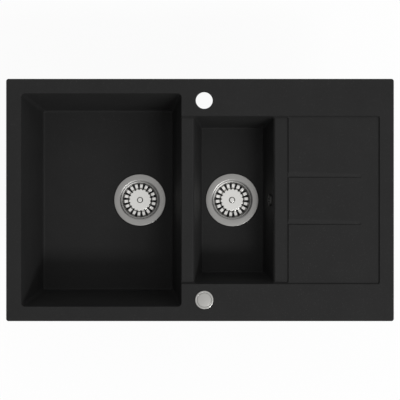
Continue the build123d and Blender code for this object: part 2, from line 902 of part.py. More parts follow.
wire_end_x = ferrule_x + ferrule_length - ferrule_lead - ferrule_end_wall - button_travel - running_gap
eye_plane = Plane(origin=(crank_pin_x, wire_y, wire_z), x_dir=(1, 0, 0), z_dir=(0, -1, 0))
with BuildPart() as pull_wire:
    with BuildSketch(eye_plane):
        Circle(wire_eye_radius)
    extrude(amount=wire_eye_thickness / 2, both=True)
    with BuildSketch(Plane(origin=(crank_pin_x, wire_y, wire_z), x_dir=(0, 1, 0), z_dir=(1, 0, 0))):
        Circle(wire_radius)
    extrude(amount=wire_end_x - crank_pin_x)
    with BuildSketch(eye_plane):
        Circle(crank_pin_radius + wire_eye_play)
    extrude(amount=wire_eye_thickness, both=True, mode=Mode.SUBTRACT)
save(pull_wire, "pull_wire")

ferrule_plane = Plane(origin=(ferrule_x - ferrule_lead, wire_y, wire_z), x_dir=(0, 1, 0), z_dir=(1, 0, 0))
with BuildPart() as cable_ferrule:
    with BuildSketch(ferrule_plane):
        Circle(ferrule_radius)
    extrude(amount=ferrule_length)
    with BuildSketch(ferrule_plane):
        Circle(wire_radius + ferrule_bore_play)
    extrude(amount=ferrule_length - ferrule_end_wall, mode=Mode.SUBTRACT)
save(cable_ferrule, "cable_ferrule")

# The cable's sheath leaves the ferrule level, passes under the small bowl's front and rises to the button.
cable_points = [
    (ferrule_x - ferrule_lead + ferrule_length, wire_y, wire_z),
    (-38.0, wire_y, wire_z),
    (-2.0, -95.0, -223.0),
    (13.0, -143.0, -206.0),
    (12.0, -184.0, -168.0),
    (tap_x, button_y, -115.0),
    (tap_x, button_y, rim_rise - housing_bottom_depth - gland_length),
]


def bend_radii(points):
    """Each corner's radius: 0.45 of the shorter run beside it over the tangent of half the turn."""
    corners = [Vector(*point) for point in points]
    radii = []
    for before, corner, after in zip(corners, corners[1:], corners[2:]):
        run_in = corner - before
        run_out = after - corner
        half_turn = radians(run_in.get_angle(run_out)) / 2
        radii.append(0.45 * min(run_in.length, run_out.length) / tan(half_turn))
    return radii


cable_radii = bend_radii(cable_points)
print("cable radii", [round(radius) for radius in cable_radii])
with BuildPart() as bowden_cable:
    with BuildLine() as cable_route:
        FilletPolyline(*cable_points, radius=cable_radii)
    with BuildSketch(cable_route.wire() ^ 0):
        Circle(cable_radius)
    sweep()
save(bowden_cable, "bowden_cable")

# ==============================================================================================================
# Push button in the front deck hole
# ==============================================================================================================
bezel_points = [
    (cap_radius + cap_play, bezel_height),
    (bezel_radius - bezel_chamfer, bezel_height),
    (bezel_radius, bezel_height - bezel_chamfer),
    (bezel_radius, 0),
    (bezel_tube_radius, 0),
    (bezel_tube_radius, -bezel_tube_depth),
    (cap_radius + cap_play, -bezel_tube_depth),
]
save(turned(bezel_points, tap_x, button_y, rim_rise), "button_bezel")

cap_top = bezel_height + cap_proud
cap_points = [
    (0, cap_top),
    (cap_radius - cap_proud, cap_top),
    (cap_radius, cap_top - cap_proud),
    (cap_radius, -cap_skirt_depth),
    (plunger_radius, -cap_skirt_depth),
    (plunger_radius, -plunger_depth),
    (0, -plunger_depth),
]
save(turned(cap_points, tap_x, button_y, rim_rise), "button_cap")

gasket_inner = bezel_tube_radius + thread_play
save(ring(tap_x, button_y, -gasket_thickness, gasket_inner, gasket_radius, gasket_thickness), "button_gasket")

with BuildPart() as button_nut:
    with BuildSketch(Plane.XY.offset(-gasket_thickness)):
        with Locations((tap_x, button_y)):
            RegularPolygon(nut_radius, 6)
            Circle(gasket_inner, mode=Mode.SUBTRACT)
    extrude(amount=-nut_height)
save(button_nut, "button_nut")

plunger_bore_depth = plunger_depth + button_travel + plunger_end_gap
housing_points = [
    (bezel_tube_radius + thread_play, -housing_top_depth),
    (housing_radius, -housing_top_depth),
    (housing_radius, -housing_bottom_depth + housing_chamfer),
    (housing_radius - housing_chamfer, -housing_bottom_depth),
    (gland_radius, -housing_bottom_depth),
    (gland_radius, -housing_bottom_depth - gland_length),
    (0, -housing_bottom_depth - gland_length),
    (0, -plunger_bore_depth),
    (plunger_radius + plunger_play, -plunger_bore_depth),
    (plunger_radius + plunger_play, -bezel_tube_depth),
    (bezel_tube_radius + thread_play, -bezel_tube_depth),
]
save(turned(housing_points, tap_x, button_y, rim_rise), "button_housing")

# ==============================================================================================================
# Overflow in the small bowl's right wall
# ==============================================================================================================
with BuildPart() as overflow_cover:
    with BuildSketch(overflow_plane):
        Circle(cover_radius)
    extrude(amount=cover_height)
    fillet(overflow_cover.faces().sort_by(Axis.X)[0].edges(), cover_edge_radius)
    with BuildSketch(overflow_plane):
        Circle(cover_radius - cover_steel)
    extrude(amount=cover_height - cover_steel, mode=Mode.SUBTRACT)
    with BuildSketch(overflow_plane):
        Circle(overflow_screw_radius + stud_play)
        with PolarLocations(cover_slot_circle, cover_slot_count):
            SlotOverall(cover_slot_length, cover_slot_width)
    extrude(amount=cover_height, mode=Mode.SUBTRACT)
save(overflow_cover, "overflow_cover")

with BuildPart() as overflow_screw:
    with BuildSketch(overflow_plane.offset(cover_height)):
        Circle(overflow_screw_head_radius)
    extrude(amount=overflow_screw_head_height)
    fillet(overflow_screw.faces().sort_by(Axis.X)[0].edges(), overflow_screw_edge_radius)
    with BuildSketch(overflow_plane.offset(cover_height)):
        Circle(overflow_screw_radius)
    extrude(amount=-cover_height - overflow_screw_reach)
save(overflow_screw, "overflow_screw")

with BuildPart() as overflow_gasket:
    with BuildSketch(overflow_plane.offset(-wall)):
        Circle(overflow_gasket_radius)
        Circle(overflow_hole_radius + overflow_gasket_play, mode=Mode.SUBTRACT)
    extrude(amount=-overflow_gasket_thickness)
save(overflow_gasket, "overflow_gasket")

elbow_start = wall + overflow_gasket_thickness
spigot_x = overflow_x + elbow_reach * cos(radians(small_draft))
spigot_top_z = overflow_z - elbow_reach * sin(radians(small_draft))
spigot_plane = Plane.XY.offset(spigot_top_z)
with BuildPart() as overflow_elbow:
    # Flange and chamber square to the wall, then the spigot straight down
    with BuildSketch(overflow_plane.offset(-elbow_start)):
        Circle(overflow_gasket_radius)
    extrude(amount=-elbow_flange_thickness)
    with BuildSketch(overflow_plane.offset(-elbow_start)):
        Circle(elbow_radius)
    extrude(amount=elbow_start - elbow_reach - elbow_radius)
    with BuildSketch(spigot_plane):
        with Locations((spigot_x, 0)):
            Circle(barb_radius)
    extrude(amount=-spigot_depth)
    with BuildSketch(overflow_plane.offset(-elbow_start)):
        Circle(elbow_radius - elbow_wall)
    extrude(amount=elbow_start - elbow_reach - elbow_radius + elbow_wall, mode=Mode.SUBTRACT)
    with BuildSketch(spigot_plane):
        with Locations((spigot_x, 0)):
            Circle(barb_radius - port_wall)
    extrude(amount=-spigot_depth, mode=Mode.SUBTRACT)
    # Screw boss on a web across the chamber
    with BuildSketch(overflow_plane.offset(-elbow_start)):
        Circle(elbow_boss_radius)
        Rectangle(2 * elbow_radius - elbow_wall, elbow_wall)
    extrude(amount=elbow_start - overflow_screw_reach - cut_overrun)
    with BuildSketch(overflow_plane.offset(-elbow_start)):
        Circle(overflow_screw_radius + thread_play)
    extrude(amount=elbow_start - overflow_screw_reach, mode=Mode.SUBTRACT)
save(overflow_elbow, "overflow_elbow")

hose_top_z = spigot_top_z - spigot_depth + hose_cover
hose_end_x = port_tip_x - hose_cover
hose_bend = spigot_x - port_tip_x
hose_points = [
    (spigot_x, 0, hose_top_z),
    (spigot_x, 0, port_z + hose_bend * (1 - tan(radians(hose_half_turn)))),
    (port_tip_x + hose_bend * tan(radians(hose_half_turn)), 0, port_z),
    (hose_end_x, 0, port_z),
]
hose_radii = bend_radii(hose_points)
print("hose radii", [round(radius) for radius in hose_radii])
with BuildPart() as overflow_hose:
    with BuildLine() as hose_route:
        FilletPolyline(*hose_points, radius=hose_radii)
    with BuildSketch(hose_route.wire() ^ 0):
        Circle(hose_radius)
        Circle(hose_radius - hose_wall, mode=Mode.SUBTRACT)
    sweep()
save(overflow_hose, "overflow_hose")

clamp_planes = (
    Plane(origin=(spigot_x, 0, hose_top_z - clamp_width - clamp_setback), x_dir=(1, 0, 0), z_dir=(0, 0, 1)),
    Plane(origin=(hose_end_x + clamp_setback, 0, port_z), x_dir=(0, -1, 0), z_dir=(1, 0, 0)),
)
with BuildPart() as hose_clips:
    for plane in clamp_planes:
        with BuildSketch(plane):
            Circle(hose_radius + clamp_thickness)
            with Locations((0, hose_radius + clamp_lug / 2)):
                Rectangle(clamp_lug, clamp_lug)
            Circle(hose_radius + thread_play, mode=Mode.SUBTRACT)
        extrude(amount=clamp_width)
save(hose_clips, "hose_clips")

# ==============================================================================================================
# Pipework that joins the two wastes
# ==============================================================================================================
small_outlet_z = small_floor_z - body_length
main_outlet_z = main_floor_z - body_length
link_z = main_outlet_z - branch_drop
branch_tip_x = main_drain_x + branch_reach
elbow_tip_x = small_drain_x - elbow_outlet_reach
slip_planes = (
    Plane(origin=(small_drain_x, 0, small_outlet_z), x_dir=(1, 0, 0), z_dir=(0, 0, -1)),
    Plane(origin=(main_drain_x, 0, main_outlet_z), x_dir=(1, 0, 0), z_dir=(0, 0, -1)),
    Plane(origin=(branch_tip_x, 0, link_z), x_dir=(0, 1, 0), z_dir=(1, 0, 0)),
    Plane(origin=(elbow_tip_x, 0, link_z), x_dir=(0, 1, 0), z_dir=(-1, 0, 0)),
)
slip_collar_end = washer_thickness + collar_thickness

with BuildPart() as slip_nuts:
    for plane in slip_planes:
        with BuildSketch(plane.offset(-slip_nut_cover)):
            Circle(slip_nut_radius)
            with PolarLocations(slip_nut_radius, slip_nut_flutes):
                Circle(slip_nut_flute_radius, mode=Mode.SUBTRACT)
            Circle(thread_radius + thread_play, mode=Mode.SUBTRACT)
        extrude(amount=slip_nut_cover + slip_collar_end)
        with BuildSketch(plane.offset(slip_collar_end)):
            Circle(slip_nut_radius)
            with PolarLocations(slip_nut_radius, slip_nut_flutes):
                Circle(slip_nut_flute_radius, mode=Mode.SUBTRACT)
            Circle(pipe_radius + pipe_play, mode=Mode.SUBTRACT)
        extrude(amount=slip_nut_lip)
save(slip_nuts, "slip_nuts")

with BuildPart() as slip_washers:
    for plane in slip_planes:
        with BuildSketch(plane):
            Circle(collar_radius)
            Circle(pipe_radius, mode=Mode.SUBTRACT)
        extrude(amount=washer_thickness)
save(slip_washers, "slip_washers")

with BuildPart() as small_elbow:
    top_z = small_outlet_z - washer_thickness
    with BuildLine() as elbow_route:
        FilletPolyline(
            (small_drain_x, 0, top_z), (small_drain_x, 0, link_z), (elbow_tip_x, 0, link_z), radius=bend_radius
        )
    with BuildSketch(elbow_route.wire() ^ 0):
        Circle(pipe_radius)
    sweep()
    with BuildSketch(Plane.XY.offset(top_z)):
        with Locations((small_drain_x, 0)):
            Circle(collar_radius)
    extrude(amount=-collar_thickness)
    with BuildSketch(slip_planes[3]):
        Circle(thread_radius)
    extrude(amount=-thread_length)
    with BuildSketch(elbow_route.wire() ^ 0):
        Circle(pipe_bore)
    sweep(path=elbow_route.wire(), mode=Mode.SUBTRACT)
save(small_elbow, "small_elbow")

with BuildPart() as link_pipe:
    pipe_start = slip_planes[2].offset(washer_thickness)
    pipe_end = slip_planes[3].offset(washer_thickness)
    link_length = elbow_tip_x - branch_tip_x - 2 * washer_thickness
    with BuildSketch(pipe_start):
        Circle(pipe_radius)
    extrude(amount=link_length)
    for plane in (pipe_start, pipe_end):
        with BuildSketch(plane):
            Circle(collar_radius)
        extrude(amount=collar_thickness)
    with BuildSketch(pipe_start):
        Circle(pipe_bore)
    extrude(amount=link_length, mode=Mode.SUBTRACT)
save(link_pipe, "link_pipe")

with BuildPart() as outlet_tee:
    tee_top = slip_planes[1].offset(washer_thickness)
    with BuildSketch(tee_top):
        Circle(pipe_radius)
    extrude(amount=tee_length)
    with BuildSketch(tee_top):
        Circle(collar_radius)
    extrude(amount=collar_thickness)
    with BuildSketch(tee_top.offset(tee_length - thread_length)):
        Circle(thread_radius)
    extrude(amount=thread_length)
    with BuildSketch(slip_planes[2]):
        Circle(thread_radius)
    extrude(amount=-thread_length)
    with BuildSketch(slip_planes[2]):
        Circle(pipe_radius)
    extrude(amount=-branch_reach)
    with BuildSketch(slip_planes[2]):
        Circle(pipe_bore)
    extrude(amount=-branch_reach, mode=Mode.SUBTRACT)
    with BuildSketch(tee_top):
        Circle(pipe_bore)
    extrude(amount=tee_length, mode=Mode.SUBTRACT)
save(outlet_tee, "outlet_tee")

# ==============================================================================================================
# Fixing clips
# ==============================================================================================================
clip_tip_top = -worktop_thickness - clip_tip_gap
clip_top = clip_tip_top - clip_tip_rise
clip_bottom = clip_top - clip_steel
for number, (x, y) in enumerate(clip_places, start=1):
    with BuildPart() as clip:
        with BuildSketch(Plane(origin=(x, y, 0), x_dir=(1, 0, 0), z_dir=(0, -1, 0))):
            with BuildLine():
                Polyline(
                    (0, clip_top),
                    (clip_reach - clip_tip_length, clip_top),
                    (clip_reach - clip_tip_flat, clip_tip_top),
                    (clip_reach, clip_tip_top),
                    (clip_reach, clip_tip_top - clip_steel),
                    (clip_reach - clip_tip_flat + clip_bend_shift, clip_tip_top - clip_steel),
                    (clip_reach - clip_tip_length + clip_bend_shift, clip_bottom),
                    (0, clip_bottom),
                    close=True,
                )
            make_face()
        extrude(amount=clip_width / 2, both=True)
        with BuildSketch(Plane.XY.offset(clip_bottom)):
            with Locations((x, y)):
                Circle(clip_hub_radius)
        extrude(amount=clip_steel)
        with BuildSketch(Plane.XY.offset(clip_bottom)):
            with Locations((x, y)):
                Circle(clip_screw_radius + clip_play)
        extrude(amount=clip_steel, mode=Mode.SUBTRACT)
    save(clip, f"clip_{number}")

head_top = clip_bottom - running_gap
with BuildPart() as clip_screws:
    with BuildSketch(Plane.XY.offset(head_top)):
        with Locations(*clip_places):
            Circle(clip_screw_head_radius)
    extrude(amount=-clip_screw_head_height)
    with BuildSketch(Plane.XY.offset(head_top)):
        with Locations(*clip_places):
            Circle(clip_screw_radius)
    extrude(amount=clip_screw_top - head_top)
save(clip_screws, "clip_screws")

with BuildPart() as clip_plugs:
    with BuildSketch(Plane.XY.offset(-clip_boss_depth)):
        with Locations(*clip_places):
            Circle(plug_flange_radius)
    extrude(amount=-plug_flange_thickness)
    with BuildSketch(Plane.XY.offset(-clip_boss_depth)):
        with Locations(*clip_places):
            Circle(plug_radius)
    extrude(amount=plug_length)
    with BuildSketch(Plane.XY.offset(-clip_boss_depth - plug_flange_thickness)):
        with Locations(*clip_places):
            Circle(clip_screw_radius + plug_play)
    extrude(amount=plug_length + plug_flange_thickness, mode=Mode.SUBTRACT)
save(clip_plugs, "clip_plugs")
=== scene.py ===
"""Looks of the double bowl kitchen sink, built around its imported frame.

Everything is in metres in the part's own frame: +Z up, +X towards the drainer, +Y towards the wall, with the
origin at the middle of the outline on the worktop plane.
"""

import json
from math import asin, cos, pi, radians, sin, sqrt, tan

import bmesh
import bpy
from mathutils import Matrix, Vector


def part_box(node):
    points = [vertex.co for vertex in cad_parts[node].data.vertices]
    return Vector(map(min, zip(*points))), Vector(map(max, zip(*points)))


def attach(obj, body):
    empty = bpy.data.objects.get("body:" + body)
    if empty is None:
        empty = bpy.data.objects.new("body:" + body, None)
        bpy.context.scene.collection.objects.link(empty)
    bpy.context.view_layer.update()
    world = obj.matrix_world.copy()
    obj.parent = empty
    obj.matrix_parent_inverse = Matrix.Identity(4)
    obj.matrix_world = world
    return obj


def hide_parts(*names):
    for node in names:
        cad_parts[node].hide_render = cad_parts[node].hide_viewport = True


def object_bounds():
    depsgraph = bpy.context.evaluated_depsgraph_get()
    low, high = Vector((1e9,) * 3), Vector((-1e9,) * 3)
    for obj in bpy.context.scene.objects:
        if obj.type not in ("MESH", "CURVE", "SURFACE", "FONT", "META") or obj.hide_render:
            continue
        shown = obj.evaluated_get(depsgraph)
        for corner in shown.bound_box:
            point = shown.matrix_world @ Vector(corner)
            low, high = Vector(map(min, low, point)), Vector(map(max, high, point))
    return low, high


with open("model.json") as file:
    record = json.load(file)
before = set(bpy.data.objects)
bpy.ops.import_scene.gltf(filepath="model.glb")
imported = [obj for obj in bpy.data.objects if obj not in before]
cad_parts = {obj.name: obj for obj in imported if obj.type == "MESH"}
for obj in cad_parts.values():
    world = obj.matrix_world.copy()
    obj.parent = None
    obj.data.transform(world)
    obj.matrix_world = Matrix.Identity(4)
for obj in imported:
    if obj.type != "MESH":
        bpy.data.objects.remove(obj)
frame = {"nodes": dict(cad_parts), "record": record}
cad_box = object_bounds()

bl_info = {
    "name": "Double bowl kitchen sink",
    "version": (1, 0, 0),
    "blender": (4, 5, 0),
    "location": "View3D > Sidebar > Sink",
    "description": "Finishes and fine pieces of an inset sink with two bowls and a drainer",
    "category": "Add Mesh",
}

MM = 0.001
WELD = 0.01 * MM  # closer points than this are one
BOWLS = ("main", "small")


def middle(node):
    """The middle of a node's box, in metres."""
    low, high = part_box(node)
    return (low + high) / 2


# --- Colours and node trees -----------------------------------------------------------------------------------
# A Mix node has its inputs A and B once for each kind of value: these are its colour sockets.
MIX_FIRST, MIX_SECOND, MIX_COLOUR = 6, 7, 2


def linear(hex_colour):
    """An sRGB hex colour as linear red, green, blue and alpha."""
    channels = [int(hex_colour[i : i + 2], 16) / 255 for i in (1, 3, 5)]
    return [c / 12.92 if c <= 0.04045 else ((c + 0.055) / 1.055) ** 2.4 for c in channels] + [1.0]


def add_node(tree, kind, inputs=None, **settings):
    """Add a node with its settings. An input is a plain value or the socket that feeds it."""
    node = tree.nodes.new(kind)
    for name, value in settings.items():
        setattr(node, name, value)
    for name, value in (inputs or {}).items():
        if isinstance(value, bpy.types.NodeSocket):
            tree.links.new(value, node.inputs[name])
        else:
            node.inputs[name].default_value = value
    return node


def open_material(name):
    """An empty material: its tree and the object coordinates."""
    material = bpy.data.materials.new(name)
    material.use_nodes = True
    tree = material.node_tree
    tree.nodes.clear()
    return material, tree, add_node(tree, "ShaderNodeTexCoord").outputs["Object"]


def close_material(material, inputs):
    """End a material's tree with its Principled shader."""
    shader = add_node(material.node_tree, "ShaderNodeBsdfPrincipled", inputs)
    add_node(material.node_tree, "ShaderNodeOutputMaterial", {"Surface": shader.outputs["BSDF"]})
    return material


def close_finish(material, colour, metallic, haze, roughness, relief, strength, depth_mm):
    """End a material whose roughness follows a haze, from one value to another, over a fine relief."""
    tree = material.node_tree
    gloss = {"Value": haze, "To Min": roughness[0], "To Max": roughness[1]}
    bump = {"Height": relief, "Strength": strength, "Distance": depth_mm * MM}
    return close_material(
        material,
        {
            "Base Color": colour,
            "Metallic": metallic,
            "Roughness": add_node(tree, "ShaderNodeMapRange", gloss).outputs["Result"],
            "Normal": add_node(tree, "ShaderNodeBump", bump).outputs["Normal"],
        },
    )


def scale_for(size_mm):
    """The texture scale, per metre, that gives features of this size in millimetres."""
    return 1000 / size_mm


# --- Materials ------------------------------------------------------------------------------------------------
# Sizes of the patterns on the real surfaces, in millimetres.
QUARTZ_GRAIN, CAST_TOOTH, PIGMENT_CLOUD = 1.3, 0.7, 60.0
HAND_SMUDGE, TUMBLED_SCRATCH, ZINC_SPANGLE, MOULD_HAZE = 25.0, 0.35, 4.0, 35.0
# Real lathe lines are some 0.05 mm apart; they are made coarser here, so that they show.
LATHE_LINE = 0.4
# The part of a noise's range that is spread over two shades, wide for soft clouds and narrow for clear ones.
SOFT_CLOUDS = {"From Min": 0.3, "From Max": 0.7}
CLEAR_CLOUDS = {"From Min": 0.35, "From Max": 0.65}
SCRATCH_STRETCH = (1.0, 0.08, 1.0)
# A grain's heart, by the distance from its middle, and the one grain in four that is pale, by its random shade.
GRAIN_HEART = {"From Min": 0.22, "From Max": 0.08}
PALE_GRAINS = {"From Min": 0.72, "From Max": 0.8}


def granite_composite(colours):
    """Quartz grit in acrylic resin, cast in a mould: a satin black with pale flecks and a fine tooth."""
    material, tree, where = open_material("granite_composite")
    cloud = add_node(
        tree, "ShaderNodeTexNoise", {"Vector": where, "Scale": scale_for(PIGMENT_CLOUD), "Detail": 3.0}
    )
    cloudy = add_node(tree, "ShaderNodeMapRange", {"Value": cloud.outputs["Fac"], **SOFT_CLOUDS})
    shades = {MIX_FIRST: linear(colours.granite_dark), MIX_SECOND: linear(colours.granite)}
    resin = add_node(tree, "ShaderNodeMix", {"Factor": cloudy.outputs["Result"], **shades}, data_type="RGBA")
    # A fleck is the heart of a grain, and only one grain in four is pale enough to show.
    grit = add_node(tree, "ShaderNodeTexVoronoi", {"Vector": where, "Scale": scale_for(QUARTZ_GRAIN)}).outputs
    heart = add_node(tree, "ShaderNodeMapRange", {"Value": grit["Distance"], **GRAIN_HEART})
    pale = add_node(tree, "ShaderNodeMapRange", {"Value": grit["Color"], **PALE_GRAINS})
    both = {0: heart.outputs["Result"], 1: pale.outputs["Result"]}
    fleck = add_node(tree, "ShaderNodeMath", both, operation="MULTIPLY")
    shades = {MIX_FIRST: resin.outputs[MIX_COLOUR], MIX_SECOND: linear(colours.granite_fleck)}
    stone = add_node(tree, "ShaderNodeMix", {"Factor": fleck.outputs[0], **shades}, data_type="RGBA")
    tooth = add_node(
        tree, "ShaderNodeTexNoise", {"Vector": where, "Scale": scale_for(CAST_TOOTH), "Detail": 4.0}
    )
    bump = {"Height": tooth.outputs["Fac"], "Strength": 0.35, "Distance": 0.12 * MM}
    # Seen from a metre or more the grit only softens the gloss, so the roughness stays high.
    return close_material(
        material,
        {
            "Base Color": stone.outputs[MIX_COLOUR],
            "Roughness": 0.62,
            "Specular IOR Level": 0.13,
            "Diffuse Roughness": 0.3,
            "Normal": add_node(tree, "ShaderNodeBump", bump).outputs["Normal"],
        },
    )


def turned_steel(name, colour, roughness, centre):
    """Stainless steel turned on a lathe: fine rings round its axis spread the highlight outwards."""
    material, tree, where = open_material(name)
    centred = add_node(tree, "ShaderNodeMapping", {"Vector": where, "Location": -centre})
    level = {0: centred.outputs[0], 1: (1.0, 1.0, 0.0)}
    flat = add_node(tree, "ShaderNodeVectorMath", level, operation="MULTIPLY")
    radius = add_node(tree, "ShaderNodeVectorMath", {0: flat.outputs[0]}, operation="LENGTH")
    line = add_node(tree, "ShaderNodeCombineXYZ", {"X": radius.outputs["Value"]}).outputs[0]
    rings = add_node(
        tree, "ShaderNodeTexNoise", {"Vector": line, "Scale": scale_for(LATHE_LINE), "Detail": 3.0}
    )
    smudge = add_node(
        tree, "ShaderNodeTexNoise", {"Vector": where, "Scale": scale_for(HAND_SMUDGE), "Detail": 2.0}
    )
    gloss = (0.85 * roughness, 1.15 * roughness)
    return close_finish(
        material,
        linear(colour),
        metallic=1.0,
        haze=smudge.outputs["Fac"],
        roughness=gloss,
        relief=rings.outputs["Fac"],
        strength=0.25,
        depth_mm=0.02,
    )


def bright_steel(name, colour, roughness):
    """Stainless sheet, stamped and tumbled: bright, with faint long scratches."""
    material, tree, where = open_material(name)
    long_way = add_node(tree, "ShaderNodeMapping", {"Vector": where, "Scale": SCRATCH_STRETCH}).outputs[0]
    scratch = add_node(
        tree, "ShaderNodeTexNoise", {"Vector": long_way, "Scale": scale_for(TUMBLED_SCRATCH), "Detail": 3.0}
    ).outputs["Fac"]
    gloss = (0.8 * roughness, 1.2 * roughness)
    return close_finish(
        material,
        linear(colour),
        metallic=1.0,
        haze=scratch,
        roughness=gloss,
        relief=scratch,
        strength=0.12,
        depth_mm=0.01,
    )


def zinc_plated_steel(name, colours):
    """Mild steel, zinc plated and passivated: grey with a cloudy spangle."""
    material, tree, where = open_material(name)
    spangle = add_node(
        tree, "ShaderNodeTexNoise", {"Vector": where, "Scale": scale_for(ZINC_SPANGLE), "Detail": 3.0}
    ).outputs["Fac"]
    cloudy = add_node(tree, "ShaderNodeMapRange", {"Value": spangle, **CLEAR_CLOUDS})
    shades = {MIX_FIRST: linear(colours.zinc), MIX_SECOND: linear(colours.zinc_dark)}
    plating = add_node(tree, "ShaderNodeMix", {"Factor": cloudy.outputs["Result"], **shades}, data_type="RGBA")
    return close_finish(
        material,
        plating.outputs[MIX_COLOUR],
        metallic=1.0,
        haze=spangle,
        roughness=(0.28, 0.45),
        relief=spangle,
        strength=0.1,
        depth_mm=0.05,
    )


def moulded_plastic(name, light, dark, roughness, grain_mm, depth_mm):
    """Injection-moulded plastic: an even colour with a slight haze and the fine grain of the mould."""
    material, tree, where = open_material(name)
    haze = add_node(
        tree, "ShaderNodeTexNoise", {"Vector": where, "Scale": scale_for(MOULD_HAZE), "Detail": 2.0}
    )
    hazy = add_node(tree, "ShaderNodeMapRange", {"Value": haze.outputs["Fac"], **CLEAR_CLOUDS})
    shades = {MIX_FIRST: linear(dark), MIX_SECOND: linear(light)}
    colour = add_node(tree, "ShaderNodeMix", {"Factor": hazy.outputs["Result"], **shades}, data_type="RGBA")
    grain = add_node(
        tree, "ShaderNodeTexNoise", {"Vector": where, "Scale": scale_for(grain_mm), "Detail": 2.0}
    ).outputs["Fac"]
    gloss = (0.9 * roughness, 1.1 * roughness)
    return close_finish(
        material,
        colour.outputs[MIX_COLOUR],
        metallic=0.0,
        haze=grain,
        roughness=gloss,
        relief=grain,
        strength=0.2,
        depth_mm=depth_mm,
    )


# --- Meshes ---------------------------------------------------------------------------------------------------
def new_object(name, mesh):
    """Link a mesh as a new object at the origin."""
    made = bpy.data.objects.new(name, mesh)
    bpy.context.scene.collection.objects.link(made)
    return made


def smooth(mesh, angle=30):
    """Shade smooth with a crease wherever faces meet at more than the angle."""
    mesh.shade_smooth()
    mesh.set_sharp_from_angle(angle=radians(angle))


def settle(made):
    """Turn an object's modifiers into plain mesh."""
    bpy.context.view_layer.update()
    graph = bpy.context.evaluated_depsgraph_get()
    mesh = bpy.data.meshes.new_from_object(made.evaluated_get(graph), depsgraph=graph)
    made.modifiers.clear()
    made.data = mesh
    return made


def rounded(points, closed=True, arc_steps=5):
    """A profile with its corners rounded. Each point is (radius, height, corner radius), in millimetres."""
    result = []
    for i, (x, y, corner) in enumerate(points):
        if corner == 0 or (not closed and i in (0, len(points) - 1)):
            result.append((x, y))
            continue
        here = Vector((x, y))
        before = Vector(points[i - 1][:2]) - here
        after = Vector(points[(i + 1) % len(points)][:2]) - here
        half = before.angle(after) / 2
        # A corner takes no more than half of the run on each side of it.
        reach = min(corner / tan(half), 0.49 * before.length, 0.49 * after.length)
        start = here + before.normalized() * reach
        end = here + after.normalized() * reach
        for step in range(arc_steps + 1):
            t = step / arc_steps
            result.append(tuple((1 - t) ** 2 * start + 2 * t * (1 - t) * here + t**2 * end))
    return result


def lathe(name, points, centre, material, segments=128):
    """A piece turned about a vertical axis. Each point is (radius, height, corner radius), in millimetres."""
    build = bmesh.new()
    rings = []
    for radius, height in rounded(points):
        # A point on the axis is one pole, which the faces round it share.
        turns = [2 * pi * i / segments for i in range(segments if radius else 1)]
        rings.append(
            [build.verts.new((radius * MM * cos(turn), radius * MM * sin(turn), height * MM)) for turn in turns]
        )
    for ring, after in zip(rings, rings[1:] + rings[:1]):
        if len(ring) == 1 and len(after) == 1:
            continue
        for i in range(segments):
            here, there = ((loop[i % len(loop)], loop[(i + 1) % len(loop)]) for loop in (ring, after))
            build.faces.new(list(dict.fromkeys([*here, *reversed(there)])))
    bmesh.ops.recalc_face_normals(build, faces=build.faces)
    bmesh.ops.translate(build, verts=build.verts, vec=centre)
    mesh = bpy.data.meshes.new(name)
    build.to_mesh(mesh)
    build.free()
    mesh.materials.append(material)
    smooth(mesh)
    return new_object(name, mesh)


def islands(node):
    """The boxes of a node's separate solids, in metres, from the lowest X on."""
    build = bmesh.new()
    build.from_mesh(frame["nodes"][node].data)
    bmesh.ops.remove_doubles(build, verts=build.verts, dist=WELD)
    left = set(build.verts)
    boxes = []
    while left:
        reached = [left.pop()]
        for vert in reached:
            for edge in vert.link_edges:
                other = edge.other_vert(vert)
                if other in left:
                    left.remove(other)
                    reached.append(other)
        corners = [vert.co for vert in reached]
        low = Vector([min(corner[axis] for corner in corners) for axis in range(3)])
        high = Vector([max(corner[axis] for corner in corners) for axis in range(3)])
        boxes.append((low, high))
    build.free()
    return sorted(boxes, key=lambda box: [round(value / MM, 1) for corner in box for value in corner])


def wear(node, material):
    """Give a node that keeps its own mesh a new finish."""
    for slot in frame["nodes"][node].material_slots:
        slot.material = material


# --- Geometry Nodes -------------------------------------------------------------------------------------------
def open_tree(name, kinds):
    """A geometry tree with an input of each kind besides its geometry, weld distance and material."""
    tree = bpy.data.node_groups.new(name, "GeometryNodeTree")
    tree.interface.new_socket("Geometry", in_out="OUTPUT", socket_type="NodeSocketGeometry")
    kinds = {"Geometry": "Geometry", **kinds, "Weld distance": "Float", "Material": "Material"}
    for label, kind in kinds.items():
        tree.interface.new_socket(label, in_out="INPUT", socket_type=f"NodeSocket{kind}")
    return tree, add_node(tree, "NodeGroupInput").outputs


def close_tree(tree, geometry, source):
    """End a tree: its copies become real, are welded and get their material."""
    real = add_node(tree, "GeometryNodeRealizeInstances", {"Geometry": geometry})
    welding = {"Geometry": real.outputs[0], "Distance": source["Weld distance"]}
    welded = add_node(tree, "GeometryNodeMergeByDistance", welding)
    finishing = {"Geometry": welded.outputs[0], "Material": source["Material"]}
    finished = add_node(tree, "GeometryNodeSetMaterial", finishing)
    add_node(tree, "NodeGroupOutput", {"Geometry": finished.outputs[0]})
    return tree


def run_tree(made, tree, values):
    """Run a tree on an object with these values for its inputs, and settle the object as plain mesh."""
    modifier = made.modifiers.new(tree.name, "NODES")
    modifier.node_group = tree
    values = {**values, "Weld distance": WELD}
    for socket in tree.interface.items_tree:
        if socket.in_out == "INPUT" and socket.name in values:
            modifier[socket.identifier] = values[socket.name]
    return settle(made)


